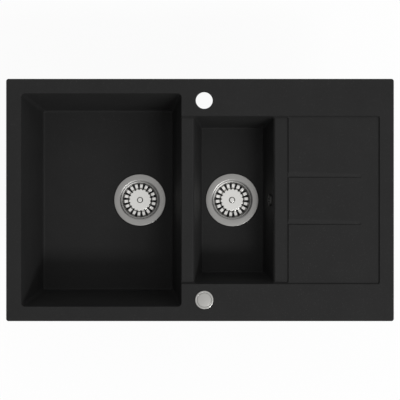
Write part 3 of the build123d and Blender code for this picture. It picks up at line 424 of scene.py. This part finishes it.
def repeat_tree():
    """A tree that sets a piece at each point of its geometry, turned one step more about Z each time."""
    tree, source = open_tree("repeat_turned", {"Piece": "Object", "Turn step": "Float"})
    piece = add_node(tree, "GeometryNodeObjectInfo", {"Object": source["Piece"]})
    number = add_node(tree, "GeometryNodeInputIndex")
    stepped = {0: number.outputs[0], 1: source["Turn step"]}
    angle = add_node(tree, "ShaderNodeMath", stepped, operation="MULTIPLY")
    turn = add_node(tree, "ShaderNodeCombineXYZ", {"Z": angle.outputs[0]})
    copies = add_node(
        tree,
        "GeometryNodeInstanceOnPoints",
        {"Points": source["Geometry"], "Instance": piece.outputs["Geometry"], "Rotation": turn.outputs[0]},
    )
    return close_tree(tree, copies.outputs[0], source)


def repeat_piece(name, piece, places, turn_step, material):
    """One mesh of a piece's copies at these places, each turned one step more. The piece itself goes."""
    points = bpy.data.meshes.new(name)
    points.from_pydata(places, [], [])
    made = new_object(name, points)
    run_tree(made, repeat_tree(), {"Piece": piece, "Turn step": turn_step, "Material": material})
    bpy.data.objects.remove(piece)
    return made


def follow_tree():
    """A tree that bends an upright piece along a route in an upright plane, which its Z axis then follows."""
    tree, source = open_tree("follow_route", {"Route": "Object"})
    route = add_node(tree, "GeometryNodeObjectInfo", {"Object": source["Route"]})
    curve = add_node(tree, "GeometryNodeMeshToCurve", {"Mesh": route.outputs["Geometry"]})
    where = add_node(tree, "GeometryNodeInputPosition")
    parts = add_node(tree, "ShaderNodeSeparateXYZ", {"Vector": where.outputs[0]}).outputs
    along = {"Curves": curve.outputs[0], "Length": parts["Z"]}
    here = add_node(tree, "GeometryNodeSampleCurve", along, mode="LENGTH").outputs
    # The route runs in X and Z, so a piece's Y axis stays as it is and its X axis turns with the route.
    level = {0: (0.0, 1.0, 0.0), 1: here["Tangent"]}
    side = add_node(tree, "ShaderNodeVectorMath", level, operation="CROSS_PRODUCT")
    moved = {0: side.outputs[0], "Scale": parts["X"]}
    sideways = add_node(tree, "ShaderNodeVectorMath", moved, operation="SCALE")
    across = add_node(tree, "ShaderNodeCombineXYZ", {"Y": parts["Y"]})
    both = {0: sideways.outputs[0], 1: across.outputs[0]}
    offset = add_node(tree, "ShaderNodeVectorMath", both, operation="ADD")
    both = {0: here["Position"], 1: offset.outputs[0]}
    place = add_node(tree, "ShaderNodeVectorMath", both, operation="ADD")
    setting = {"Geometry": source["Geometry"], "Position": place.outputs[0]}
    bent = add_node(tree, "GeometryNodeSetPosition", setting)
    return close_tree(tree, bent.outputs[0], source)


# --- What a user may change -----------------------------------------------------------------------------------
def length_property(name, description, default_mm):
    """A length in metres with a default in millimetres."""
    return bpy.props.FloatProperty(
        name=name, description=description, default=default_mm * MM, min=0.0, unit="LENGTH", precision=5
    )


def number_property(name, description, default):
    """A plain number, such as a lamp's power."""
    return bpy.props.FloatProperty(name=name, description=description, default=default, min=0.0)


def colour_property(name, description, default):
    """A colour kept as an sRGB hex word."""
    return bpy.props.StringProperty(name=name, description=description, default=default)


class SinkSizes(bpy.types.PropertyGroup):
    """Sizes of the pieces that the frame doesn't fix."""

    slot_count: bpy.props.IntProperty(
        name="Strainer slots", description="Slots round a basket", default=18, min=3
    )
    slot_phase: bpy.props.FloatProperty(
        name="Slot phase", description="Turn of the first slot from +X", default=radians(-5), subtype="ANGLE"
    )
    slot_inner: length_property("Slot inner radius", "Where a slot starts", 22.3)
    slot_outer: length_property("Slot outer radius", "Where a slot ends", 35.9)
    slot_inner_width: length_property("Slot inner width", "Width of a slot's inner end", 2.6)
    slot_outer_width: length_property("Slot outer width", "Width of a slot's outer end", 6.2)
    slot_corner: length_property("Slot corner", "Corner radius of a slot", 1.0)
    sheet: length_property("Strainer sheet", "Thickness of the basket's steel", 0.9)
    cup_sheet: length_property("Flange sheet", "Thickness of the flange's steel", 1.2)
    hose_end: length_property("Hose end", "Plain length at each end of the overflow hose", 16.0)
    hose_pitch: length_property("Hose pitch", "Length of one corrugation", 3.4)
    hose_groove: length_property("Hose groove", "Depth of a corrugation", 1.0)
    hose_wall: length_property("Hose wall", "Wall of the overflow hose", 1.4)
    screw_shank: length_property("Screw radius", "Radius of a clip screw's thread", 2.5)
    screw_head: length_property("Screw head", "Height of a clip screw's head", 3.0)
    screw_pitch: length_property("Screw pitch", "Pitch of a clip screw's thread", 1.8)
    camera_height: length_property("Camera height", "Height of the camera over the rim", 2600.0)
    view_width: length_property("View width", "Width that the camera sees at the rim", 824.0)
    side_light: number_property("Side light", "Sky in front and behind", 1.08)
    top_light: number_property("Top light", "Sky overhead", 0.8)
    left_share: number_property("Left share", "Sky on the left, of the side light", 0.3)
    right_share: number_property("Right share", "Sky on the right, of the side light", 0.92)
    low_sky: number_property("Low sky", "Sky at the horizon, of the side light", 0.25)
    key_watts: number_property("Key light", "Power of the near softbox", 850.0)
    wing_watts: number_property("Wing light", "Power of the far, long softbox", 980.0)


class SinkColours(bpy.types.PropertyGroup):
    """Colours of the finishes, as sRGB hex words."""

    granite: colour_property("Granite", "Resin of the basin", "#222222")
    granite_dark: colour_property("Granite, darker", "Darker clouds in the resin", "#202020")
    granite_fleck: colour_property("Granite fleck", "Quartz flecks", "#6A6A68")
    flange: colour_property("Flange steel", "Turned flange of a waste and rolled rim of a strainer", "#989795")
    basket: colour_property("Basket steel", "Stamped strainer", "#DFDEDB")
    # The wall colour is painted shade: a darker copy of the basket steel that stands in for the shade on a
    # strainer's steep wall.
    painted_wall_shade: colour_property("Wall shade steel", "Painted shade on a strainer's wall", "#908F8D")
    chrome: colour_property("Satin chrome", "Push button and its ring", "#B0AFAC")
    cover: colour_property("Cover steel", "Perforated overflow cover and its screw, darkened", "#444443")
    zinc: colour_property("Zinc", "Plated screws and clips", "#B9BAB6")
    zinc_dark: colour_property("Zinc, darker", "Clouds in the plating", "#94968F")
    pipe: colour_property("White plastic", "Waste fittings", "#DBDAD5")
    pipe_dark: colour_property("White plastic, darker", "Haze in the fittings", "#CECDC7")
    nylon: colour_property("Black plastic", "Nuts, plugs and the button's housing", "#1E1E1F")
    nylon_dark: colour_property("Black plastic, darker", "Haze in the black plastic", "#19191A")
    rubber: colour_property("Rubber", "Seals and gaskets", "#141414")
    rubber_dark: colour_property("Rubber, darker", "Haze in the rubber", "#101010")


# --- Pieces ---------------------------------------------------------------------------------------------------
# Profiles of the turned pieces. Each point is (radius, height, corner radius), in millimetres.
STRAINER_FACE = (
    (3.1, -7.0, 0),
    (24.3, -7.0, 1.0),
    (27.1, -13.0, 0.8),
    (36.4, -12.4, 2.5),
    (38.2, -2.4, 0.6),
    (41.0, -1.2, 0),
)
FLANGE_FACE = (
    (5.6, -26.0, 0),
    (36.5, -26.0, 1.5),
    (36.5, -19.1, 0.8),
    (41.6, -14.0, 1.0),
    (41.6, -1.1, 0.3),
    (44.7, 0.3, 1.0),
    (57.0, 0.3, 0.9),
    (57.0, -1.5, 0),
)
KNOB_OUTLINE = (
    (0, -3.4, 0),
    (0, -14.0, 0),
    (3.0, -14.0, 0),
    (3.0, -7.0, 0),
    (6.6, -7.0, 0),
    (6.8, -6.1, 0.3),
    (4.9, -3.4, 0.8),
)
BUTTON_RING = (
    (14.9, 2.0, 0.4),
    (18.9, 2.0, 1.2),
    (18.9, 0.0, 0),
    (16.5, 0.0, 0),
    (16.5, -24.0, 0),
    (14.9, -24.0, 0),
)
BUTTON_TOP = (
    (0, 2.3, 0),
    (14.5, 2.3, 0.5),
    (14.5, -2.0, 0),
    (4.0, -2.0, 0),
    (4.0, -30.0, 0),
    (0, -30.0, 0),
)
# From the top of the CAD box of the strainer, the flange or the button's ring up to height 0 of its profiles.
STRAINER_RISE, FLANGE_RISE, BUTTON_RISE = 1.2, -0.3, -2.0
# The tumbled plate and bars of a strainer end at the first radius, and its steep wall at the second. Between
# the two radii the steel is painted darker: painted shade on the wall and the outer ends of the bars.
SHADED_WALL_RADII = (34.3, 38.3)
# Extra rings in the flat parts of a strainer, so that its faces stay even.
STRAINER_RINGS = (8.0, 14.0, 19.0, 29.5, 32.0, SHADED_WALL_RADII[0])
# The round holes in a flange's cup, their middles on one circle.
CUP_HOLES = {"count": 6, "circle": 22.0, "radius": 7.0}
# The width of the small bevel along a pressed edge.
PRESSED_EDGE = 0.15
# Corner radii of the overflow hose's upper and lower bend, and the rows of points in each of its ribs.
HOSE_BENDS, ROWS_PER_RIB = (48.0, 41.0), 6
# The plain shank under a screw's head, the depth of its thread and its bare tip.
SCREW_NECK, THREAD_DEPTH, SCREW_TIP = 8.0, 0.5, 1.0
# The cross in a screw's head: length, width and height of an arm, and its taper.
CROSS_LENGTH, CROSS_WIDTH, CROSS_HEIGHT, CROSS_TAPER = 4.6, 1.1, 3.6, 0.45
# Screws are never driven home at one angle: each cross is turned on by this many degrees.
SCREW_TURN = 37.0


def with_radii(profile, radii):
    """A profile with a point added wherever one of its runs passes one of the radii."""
    result = [profile[0]]
    for (r0, z0), (r1, z1) in zip(profile, profile[1:]):
        passed = [radius for radius in radii if min(r0, r1) + 0.01 < radius < max(r0, r1) - 0.01]
        for radius in sorted(passed, reverse=r1 < r0):
            result.append((radius, z0 + (z1 - z0) * (radius - r0) / (r1 - r0)))
        result.append((r1, z1))
    return result


def pierced_sector(name, profile, count, opening, half_width, within, beside):
    """One of count sectors of a turned sheet, open in its middle between two radii. Its face looks along +Z.

    From its middle to its side a sector has some columns within the opening and some beside it.
    """
    inner, outer = opening
    middle_column = within + beside
    build = bmesh.new()
    grid = []
    for radius, height in profile:
        edge = asin(half_width(radius) / radius)
        turns = [edge * i / within for i in range(within)]
        turns += [edge + (pi / count - edge) * i / beside for i in range(beside + 1)]
        turns = [-turn for turn in turns[:0:-1]] + turns
        grid.append(
            [build.verts.new((radius * cos(turn) * MM, radius * sin(turn) * MM, height * MM)) for turn in turns]
        )
    for (r0, _), (r1, _), low, high in zip(profile, profile[1:], grid, grid[1:]):
        is_open = inner - 0.001 < min(r0, r1) and max(r0, r1) < outer + 0.001
        for i in range(2 * middle_column):
            if is_open and abs(i + 0.5 - middle_column) < within:
                continue
            build.faces.new([low[i], high[i], high[i + 1], low[i + 1]])
    bmesh.ops.remove_doubles(build, verts=build.verts, dist=0.001 * MM)
    loose = [vert for vert in build.verts if not vert.link_faces]
    bmesh.ops.delete(build, geom=loose, context="VERTS")
    mesh = bpy.data.meshes.new(name)
    build.to_mesh(mesh)
    build.free()
    return mesh


def strainer_sector(sizes):
    """One sector of a basket with its slot, a wedge with round corners."""
    inner, outer = sizes.slot_inner / MM, sizes.slot_outer / MM
    corner = sizes.slot_corner / MM

    def half_width(radius):
        along = min(max(radius, inner), outer)
        share = (along - inner) / (outer - inner)
        half = ((1 - share) * sizes.slot_inner_width + share * sizes.slot_outer_width) / MM / 2
        from_end = min(along - inner, outer - along)
        if from_end < corner:
            half -= corner - sqrt(corner**2 - (corner - from_end) ** 2)
        return half

    # Five rows through each end of the slot, where its corners are round.
    ends = [corner * (1 - cos(radians(18 * step))) for step in range(6)]
    radii = [inner + end for end in ends] + [outer - end for end in ends] + list(STRAINER_RINGS)
    profile = with_radii(rounded(STRAINER_FACE, closed=False, arc_steps=4), radii)
    opening = (inner, outer)
    return pierced_sector(
        "strainer_sector", profile, sizes.slot_count, opening, half_width, within=3, beside=4
    )


def flange_sector():
    """One sector of a flange and its cup, with one of the round holes in the cup's bottom."""
    circle, hole = CUP_HOLES["circle"], CUP_HOLES["radius"]

    def half_width(radius):
        along = min(max(radius, circle - hole), circle + hole)
        cosine = (along**2 + circle**2 - hole**2) / (2 * along * circle)
        return radius * sqrt(max(0.0, 1 - cosine**2))

    # Twelve rows across the hole, closer together at its two ends.
    radii = [circle - hole * cos(radians(15 * step)) for step in range(13)]
    profile = with_radii(rounded(FLANGE_FACE, closed=False, arc_steps=4), radii)
    opening = (circle - hole, circle + hole)
    return pierced_sector(
        "flange_sector", profile, CUP_HOLES["count"], opening, half_width, within=4, beside=12
    )


def pressed_steel(name, sector, count, phase, sheet, steel, centre):
    """A turned sheet made of its sectors, with its thickness and its pressed edges, at its centre."""
    sector.materials.append(steel)
    places = [(0.0, 0.0, 0.0)] * count
    made = repeat_piece(name, new_object("sector", sector), places, 2 * pi / count, steel)
    solid = made.modifiers.new("sheet", "SOLIDIFY")
    solid.thickness = sheet
    solid.offset = -1.0
    solid.use_even_offset = True
    edges = made.modifiers.new("edges", "BEVEL")
    edges.width = PRESSED_EDGE * MM
    edges.segments = 2
    edges.limit_method = "ANGLE"
    edges.angle_limit = radians(50)
    settle(made)
    made.data.transform(Matrix.Translation(centre) @ Matrix.Rotation(phase, 4, "Z"))
    smooth(made.data, angle=40)
    return made


class SINK_OT_basin(bpy.types.Operator):
    """Finish the cast basin."""

    bl_idname = "sink.basin"
    bl_label = "Basin"

    def execute(self, context):
        granite = granite_composite(context.scene.sink_colours)
        for part in frame["record"]["subparts"]:
            if part["material_slot"] == "granite":
                wear(part["node"], granite)
        return {"FINISHED"}


class SINK_OT_strainers(bpy.types.Operator):
    """Build the two slotted baskets with their knobs."""

    bl_idname = "sink.strainers"
    bl_label = "Basket strainers"

    def execute(self, context):
        sizes = context.scene.sink_sizes
        colours = context.scene.sink_colours
        steel = bright_steel("tumbled_strainer_steel", colours.basket, roughness=0.3)
        # A darker copy of the steel goes on the steep wall and the outer ends of the bars: painted shade, not a
        # finish of its own.
        painted_wall_shade = bright_steel("painted_wall_shade_steel", colours.painted_wall_shade, roughness=0.5)
        rolled = bright_steel("rolled_rim_steel", colours.flange, roughness=0.46)
        for bowl in BOWLS:
            centre = middle(f"{bowl}_basket")
            centre.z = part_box(f"{bowl}_basket")[1].z + STRAINER_RISE * MM
            basket = pressed_steel(
                f"{bowl}_strainer",
                strainer_sector(sizes),
                sizes.slot_count,
                sizes.slot_phase,
                sizes.sheet,
                steel,
                centre,
            )
            basket.data.materials.append(painted_wall_shade)
            basket.data.materials.append(rolled)
            for face in basket.data.polygons:
                radius = (face.center - centre).xy.length / MM
                # Each face takes the bright plate steel, the painted-shade wall steel or the rim steel, by its
                # radius.
                face.material_index = sum(radius > start for start in SHADED_WALL_RADII)
            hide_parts(f"{bowl}_basket")
            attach(basket, f"{bowl}_strainer")
            knob = lathe(f"{bowl}_knob", KNOB_OUTLINE, centre, steel, segments=64)
            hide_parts(f"{bowl}_basket_knob")
            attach(knob, f"{bowl}_strainer")
        return {"FINISHED"}


class SINK_OT_flanges(bpy.types.Operator):
    """Build the turned flanges with their cups."""

    bl_idname = "sink.flanges"
    bl_label = "Waste flanges"

    def execute(self, context):
        colours = context.scene.sink_colours
        for bowl in BOWLS:
            centre = middle(f"{bowl}_flange")
            centre.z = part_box(f"{bowl}_flange")[1].z + FLANGE_RISE * MM
            steel = turned_steel(f"{bowl}_flange_steel", colours.flange, roughness=0.34, centre=centre)
            flange = pressed_steel(
                f"{bowl}_pressed_flange",
                flange_sector(),
                CUP_HOLES["count"],
                0.0,
                context.scene.sink_sizes.cup_sheet,
                steel,
                centre,
            )
            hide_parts(f"{bowl}_flange")
            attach(flange, "sink")
        return {"FINISHED"}


class SINK_OT_button(bpy.types.Operator):
    """Turn the pop-up button and its ring in the front deck hole."""

    bl_idname = "sink.button"
    bl_label = "Push button"

    def execute(self, context):
        centre = middle("button_cap")
        centre.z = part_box("button_bezel")[1].z + BUTTON_RISE * MM
        colours = context.scene.sink_colours
        chrome = turned_steel("satin_chrome", colours.chrome, roughness=0.3, centre=centre)
        for name, outline, node, body in (
            ("button_ring", BUTTON_RING, "button_bezel", "sink"),
            ("button_top", BUTTON_TOP, "button_cap", "push_button"),
        ):
            piece = lathe(name, outline, centre, chrome)
            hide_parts(node)
            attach(piece, body)
        return {"FINISHED"}


class SINK_OT_hose(bpy.types.Operator):
    """Run the corrugated overflow hose between its two plain ends."""

    bl_idname = "sink.hose"
    bl_label = "Overflow hose"

    def execute(self, context):
        sizes = context.scene.sink_sizes
        colours = context.scene.sink_colours
        low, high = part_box("overflow_hose")
        middle_y = (low.y + high.y) / 2
        radius = (high.y - low.y) / 2
        # It hangs straight down from the elbow, bends twice by 45 degrees and runs level to the waste's port.
        down_x, level_z = high.x - radius, low.z + radius
        turn = down_x - low.x - sizes.hose_end
        slant = turn * tan(radians(22.5))
        bend = [
            (down_x / MM, high.z / MM, 0),
            (down_x / MM, (level_z + turn - slant) / MM, HOSE_BENDS[0]),
            ((down_x - turn + slant) / MM, level_z / MM, HOSE_BENDS[1]),
            (low.x / MM, level_z / MM, 0),
        ]
        route = [Vector((x * MM, middle_y, z * MM)) for x, z in rounded(bend, closed=False, arc_steps=12)]
        total = sum((after - here).length for here, after in zip(route, route[1:]))
        rows = round(total / sizes.hose_pitch) * ROWS_PER_RIB
        outline = []
        for row in range(rows + 1):
            along = total * row / rows
            from_end = min(along, total - along) - sizes.hose_end
            groove = 0.5 - 0.5 * cos(2 * pi * from_end / sizes.hose_pitch) if from_end > 0 else 0.0
            outline.append(((radius - groove * sizes.hose_groove) / MM, along / MM, 0))
        bore = (radius - sizes.hose_wall) / MM
        outline += [(bore, total * row / rows / MM, 0) for row in range(rows, -1, -ROWS_PER_RIB // 2)]
        whites = (colours.pipe, colours.pipe_dark)
        plastic = moulded_plastic("corrugated_hose", *whites, roughness=0.45, grain_mm=0.8, depth_mm=0.01)
        hose = lathe("corrugated_hose", outline, Vector((0, 0, 0)), plastic, segments=32)
        line = bpy.data.meshes.new("hose_route")
        line.from_pydata(route, [(i, i + 1) for i in range(len(route) - 1)], [])
        guide = new_object("hose_route", line)
        run_tree(hose, follow_tree(), {"Route": guide, "Material": plastic})
        bpy.data.objects.remove(guide)
        smooth(hose.data, angle=50)
        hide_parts("overflow_hose")
        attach(hose, "sink")
        return {"FINISHED"}


class SINK_OT_screws(bpy.types.Operator):
    """Turn the threaded clip screws and cut the cross in each head."""

    bl_idname = "sink.screws"
    bl_label = "Clip screws"

    def execute(self, context):
        sizes = context.scene.sink_sizes
        zinc = zinc_plated_steel("zinc_plated_screw", context.scene.sink_colours)
        boxes = islands("clip_screws")
        low, high = boxes[0]
        head = (high.x - low.x) / 2 / MM
        reach = (high.z - low.z) / MM
        shank, head_height, pitch = sizes.screw_shank / MM, sizes.screw_head / MM, sizes.screw_pitch / MM
        outline = [(0, 0, 0), (head - 0.9, 0, 0.5), (head, 1.0, 0.5), (head, head_height, 0.2)]
        outline.append((shank, head_height, 0))
        height = head_height + SCREW_NECK
        while height + pitch < reach - SCREW_TIP:
            outline += [(shank - THREAD_DEPTH, height, 0), (shank, height + pitch / 2, 0)]
            height += pitch
        outline += [(shank - THREAD_DEPTH, height, 0), (shank - SCREW_TIP, reach, 0.3), (0, reach, 0)]
        screw = lathe("screw", outline, Vector((0, 0, 0)), zinc, segments=24)
        build = bmesh.new()
        for wide, deep in ((CROSS_LENGTH, CROSS_WIDTH), (CROSS_WIDTH, CROSS_LENGTH)):
            for vert in bmesh.ops.create_cube(build, size=1.0)["verts"]:
                taper = CROSS_TAPER if vert.co.z > 0 else 1.0
                x, y, z = vert.co
                vert.co = Vector((x * wide * taper, y * deep * taper, z * CROSS_HEIGHT)) * MM
        cross = bpy.data.meshes.new("cross")
        build.to_mesh(cross)
        build.free()
        cutter = new_object("cross", cross)
        cut = screw.modifiers.new("cross", "BOOLEAN")
        cut.object = cutter
        cut.operation = "DIFFERENCE"
        cut.use_self = True
        settle(screw)
        bpy.data.objects.remove(cutter)
        places = [((low.x + high.x) / 2, (low.y + high.y) / 2, low.z) for low, high in boxes]
        screws = repeat_piece("threaded_clip_screws", screw, places, radians(SCREW_TURN), zinc)
        smooth(screws.data, angle=35)
        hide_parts("clip_screws")
        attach(screws, "sink")
        return {"FINISHED"}


class SINK_OT_fittings(bpy.types.Operator):
    """Finish the pieces under the deck."""

    bl_idname = "sink.fittings"
    bl_label = "Fittings"

    def execute(self, context):
        colours = context.scene.sink_colours
        zinc = zinc_plated_steel("zinc_plated_steel", colours)
        whites = (colours.pipe, colours.pipe_dark)
        blacks = (colours.nylon, colours.nylon_dark)
        rubbers = (colours.rubber, colours.rubber_dark)
        pipe = moulded_plastic("polypropylene_fitting", *whites, roughness=0.42, grain_mm=0.8, depth_mm=0.02)
        nylon = moulded_plastic("glass_filled_nylon", *blacks, roughness=0.5, grain_mm=0.6, depth_mm=0.03)
        rubber = moulded_plastic("nitrile_rubber", *rubbers, roughness=0.75, grain_mm=0.5, depth_mm=0.03)
        cover = bright_steel("dark_cover_steel", colours.cover, roughness=0.45)
        finishes = {
            "steel": cover,
            "bright_steel": cover,
            "screw_steel": zinc,
            "white_plastic": pipe,
            "black_plastic": nylon,
            "rubber": rubber,
            "grey_rubber": rubber,
        }
        done = {"button_bezel", "button_cap", "overflow_hose", "clip_screws"}
        for bowl in BOWLS:
            done |= {f"{bowl}_flange", f"{bowl}_basket", f"{bowl}_basket_knob"}
        for part in frame["record"]["subparts"]:
            if part["node"] not in done and part["material_slot"] != "granite":
                wear(part["node"], finishes[part["material_slot"]])
        return {"FINISHED"}


# --- Stage ----------------------------------------------------------------------------------------------------
WHITE = (1.0, 1.0, 1.0, 1.0)
FLOOR_PAINT = (0.8, 0.8, 0.8, 1.0)
FLOOR_REACH, FLOOR_GAP = 6.0, 0.02
# What the eye sees of the floor is plain white in this part, and lit paint with the sink's shadow in the rest.
GLOW_SHARE = 0.93
# Where the sky changes, as the upward or rightward part of the direction.
SKY_TOP, SKY_LOW, SKY_SIDES = (0.8, 0.96), (0.0, 0.5), (-0.55, -0.15, 0.15, 0.55)
KEY_STAND, KEY_WIDTH = (5.5, -8.54, 16.0), 3.4
WING_STAND, WING_WIDTH = (11.0, -8.54, 16.0), 8.0
LAMP_HEIGHT = 3.0
SENSOR = 36.0


def pale_floor():
    """A white studio floor that shows as plain white and keeps a little of the shadow."""
    material, tree, _ = open_material("pale_floor")
    paint = add_node(tree, "ShaderNodeBsdfPrincipled", {"Base Color": FLOOR_PAINT, "Roughness": 0.9})
    glow = add_node(tree, "ShaderNodeEmission", {"Color": WHITE, "Strength": 1.0})
    rays = add_node(tree, "ShaderNodeLightPath").outputs
    seen = {0: rays["Is Camera Ray"], 1: rays["Is Glossy Ray"]}
    glowing = {0: add_node(tree, "ShaderNodeMath", seen, operation="MAXIMUM").outputs[0], 1: GLOW_SHARE}
    share = add_node(tree, "ShaderNodeMath", glowing, operation="MULTIPLY")
    mix = add_node(tree, "ShaderNodeMixShader", {0: share.outputs[0], 1: paint.outputs[0], 2: glow.outputs[0]})
    add_node(tree, "ShaderNodeOutputMaterial", {"Surface": mix.outputs[0]})
    return material


class SINK_OT_stage(bpy.types.Operator):
    """Set the pale floor, the soft light and the camera."""

    bl_idname = "sink.stage"
    bl_label = "Stage"

    def execute(self, context):
        scene = context.scene
        sizes = scene.sink_sizes
        scene.view_settings.view_transform = "Standard"
        low, high = cad_box

        build = bmesh.new()
        bmesh.ops.create_grid(build, x_segments=1, y_segments=1, size=FLOOR_REACH)
        bmesh.ops.translate(build, verts=build.verts, vec=(0, 0, low[2] - FLOOR_GAP))
        mesh = bpy.data.meshes.new("floor")
        build.to_mesh(mesh)
        build.free()
        floor = new_object("floor", mesh)
        mesh.materials.append(pale_floor())

        world = bpy.data.worlds.new("studio")
        scene.world = world
        world.use_nodes = True
        tree = world.node_tree
        tree.nodes.clear()
        # A soft sky: bright in front and behind, weaker on the right and dark on the left.
        rays = add_node(tree, "ShaderNodeLightPath").outputs
        where = add_node(tree, "ShaderNodeTexCoord").outputs["Generated"]
        towards = add_node(tree, "ShaderNodeSeparateXYZ", {"Vector": where}).outputs
        left_end, left_start, right_start, right_end = SKY_SIDES
        levels = (
            ("Z", *SKY_TOP, sizes.side_light, sizes.top_light),
            ("Z", *SKY_LOW, sizes.low_sky, 1.0),
            ("X", left_end, left_start, sizes.left_share, 1.0),
            ("X", right_start, right_end, 1.0, sizes.right_share),
        )
        strength = 1.0
        for axis, start, end, first, last in levels:
            level = {"From Min": start, "From Max": end, "To Min": first, "To Max": last}
            level["Value"] = towards[axis]
            share = {0: add_node(tree, "ShaderNodeMapRange", level).outputs["Result"], 1: strength}
            strength = add_node(tree, "ShaderNodeMath", share, operation="MULTIPLY").outputs[0]
        fill = add_node(tree, "ShaderNodeBackground", {"Color": WHITE, "Strength": strength})
        white = add_node(tree, "ShaderNodeBackground", {"Color": WHITE, "Strength": 1.0})
        mixed = {0: rays["Is Camera Ray"], 1: fill.outputs[0], 2: white.outputs[0]}
        sky = add_node(tree, "ShaderNodeMixShader", mixed)
        add_node(tree, "ShaderNodeOutputWorld", {"Surface": sky.outputs[0]})

        # Two softboxes side by side on the right, in front and high up, that face the sink.
        for name, stand, width, watts in (
            ("key", KEY_STAND, KEY_WIDTH, sizes.key_watts),
            ("wing", WING_STAND, WING_WIDTH, sizes.wing_watts),
        ):
            light = bpy.data.lights.new(name, "AREA")
            light.shape = "RECTANGLE"
            light.size = width
            light.size_y = LAMP_HEIGHT
            light.energy = watts
            lamp = bpy.data.objects.new(name, light)
            scene.collection.objects.link(lamp)
            back = Vector(stand).normalized()
            along = (Vector((1.0, 0.0, 0.0)) - back * back.x).normalized()
            turn = Matrix((along, back.cross(along), back)).transposed().to_4x4()
            lamp.matrix_world = Matrix.Translation(stand) @ turn

        camera = bpy.data.objects.new("camera", bpy.data.cameras.new("camera"))
        scene.collection.objects.link(camera)
        camera.data.sensor_width = SENSOR
        camera.data.lens = SENSOR * sizes.camera_height / sizes.view_width
        camera.location = (0, 0, high[2] + sizes.camera_height)
        scene.camera = camera
        return {"FINISHED"}


class SINK_PT_panel(bpy.types.Panel):
    """The sink's tools in the sidebar."""

    bl_label = "Kitchen sink"
    bl_space_type = "VIEW_3D"
    bl_region_type = "UI"
    bl_category = "Sink"

    def draw(self, context):
        for step in STEPS:
            self.layout.operator(step.bl_idname)
        for group in (context.scene.sink_sizes, context.scene.sink_colours):
            for name in group.__annotations__:
                self.layout.prop(group, name)


STEPS = (
    SINK_OT_stage,
    SINK_OT_basin,
    SINK_OT_strainers,
    SINK_OT_flanges,
    SINK_OT_button,
    SINK_OT_hose,
    SINK_OT_screws,
    SINK_OT_fittings,
)
CLASSES = (SinkSizes, SinkColours, *STEPS, SINK_PT_panel)


def register():
    for made in CLASSES:
        bpy.utils.register_class(made)
    bpy.types.Scene.sink_sizes = bpy.props.PointerProperty(type=SinkSizes)
    bpy.types.Scene.sink_colours = bpy.props.PointerProperty(type=SinkColours)


def unregister():
    del bpy.types.Scene.sink_colours
    del bpy.types.Scene.sink_sizes
    for made in reversed(CLASSES):
        bpy.utils.unregister_class(made)


def main():
    register()
    bpy.ops.sink.stage()
    bpy.ops.sink.basin()
    bpy.ops.sink.strainers()
    bpy.ops.sink.flanges()
    bpy.ops.sink.button()
    bpy.ops.sink.hose()
    bpy.ops.sink.screws()
    bpy.ops.sink.fittings()


if __name__ == "__main__":
    main()
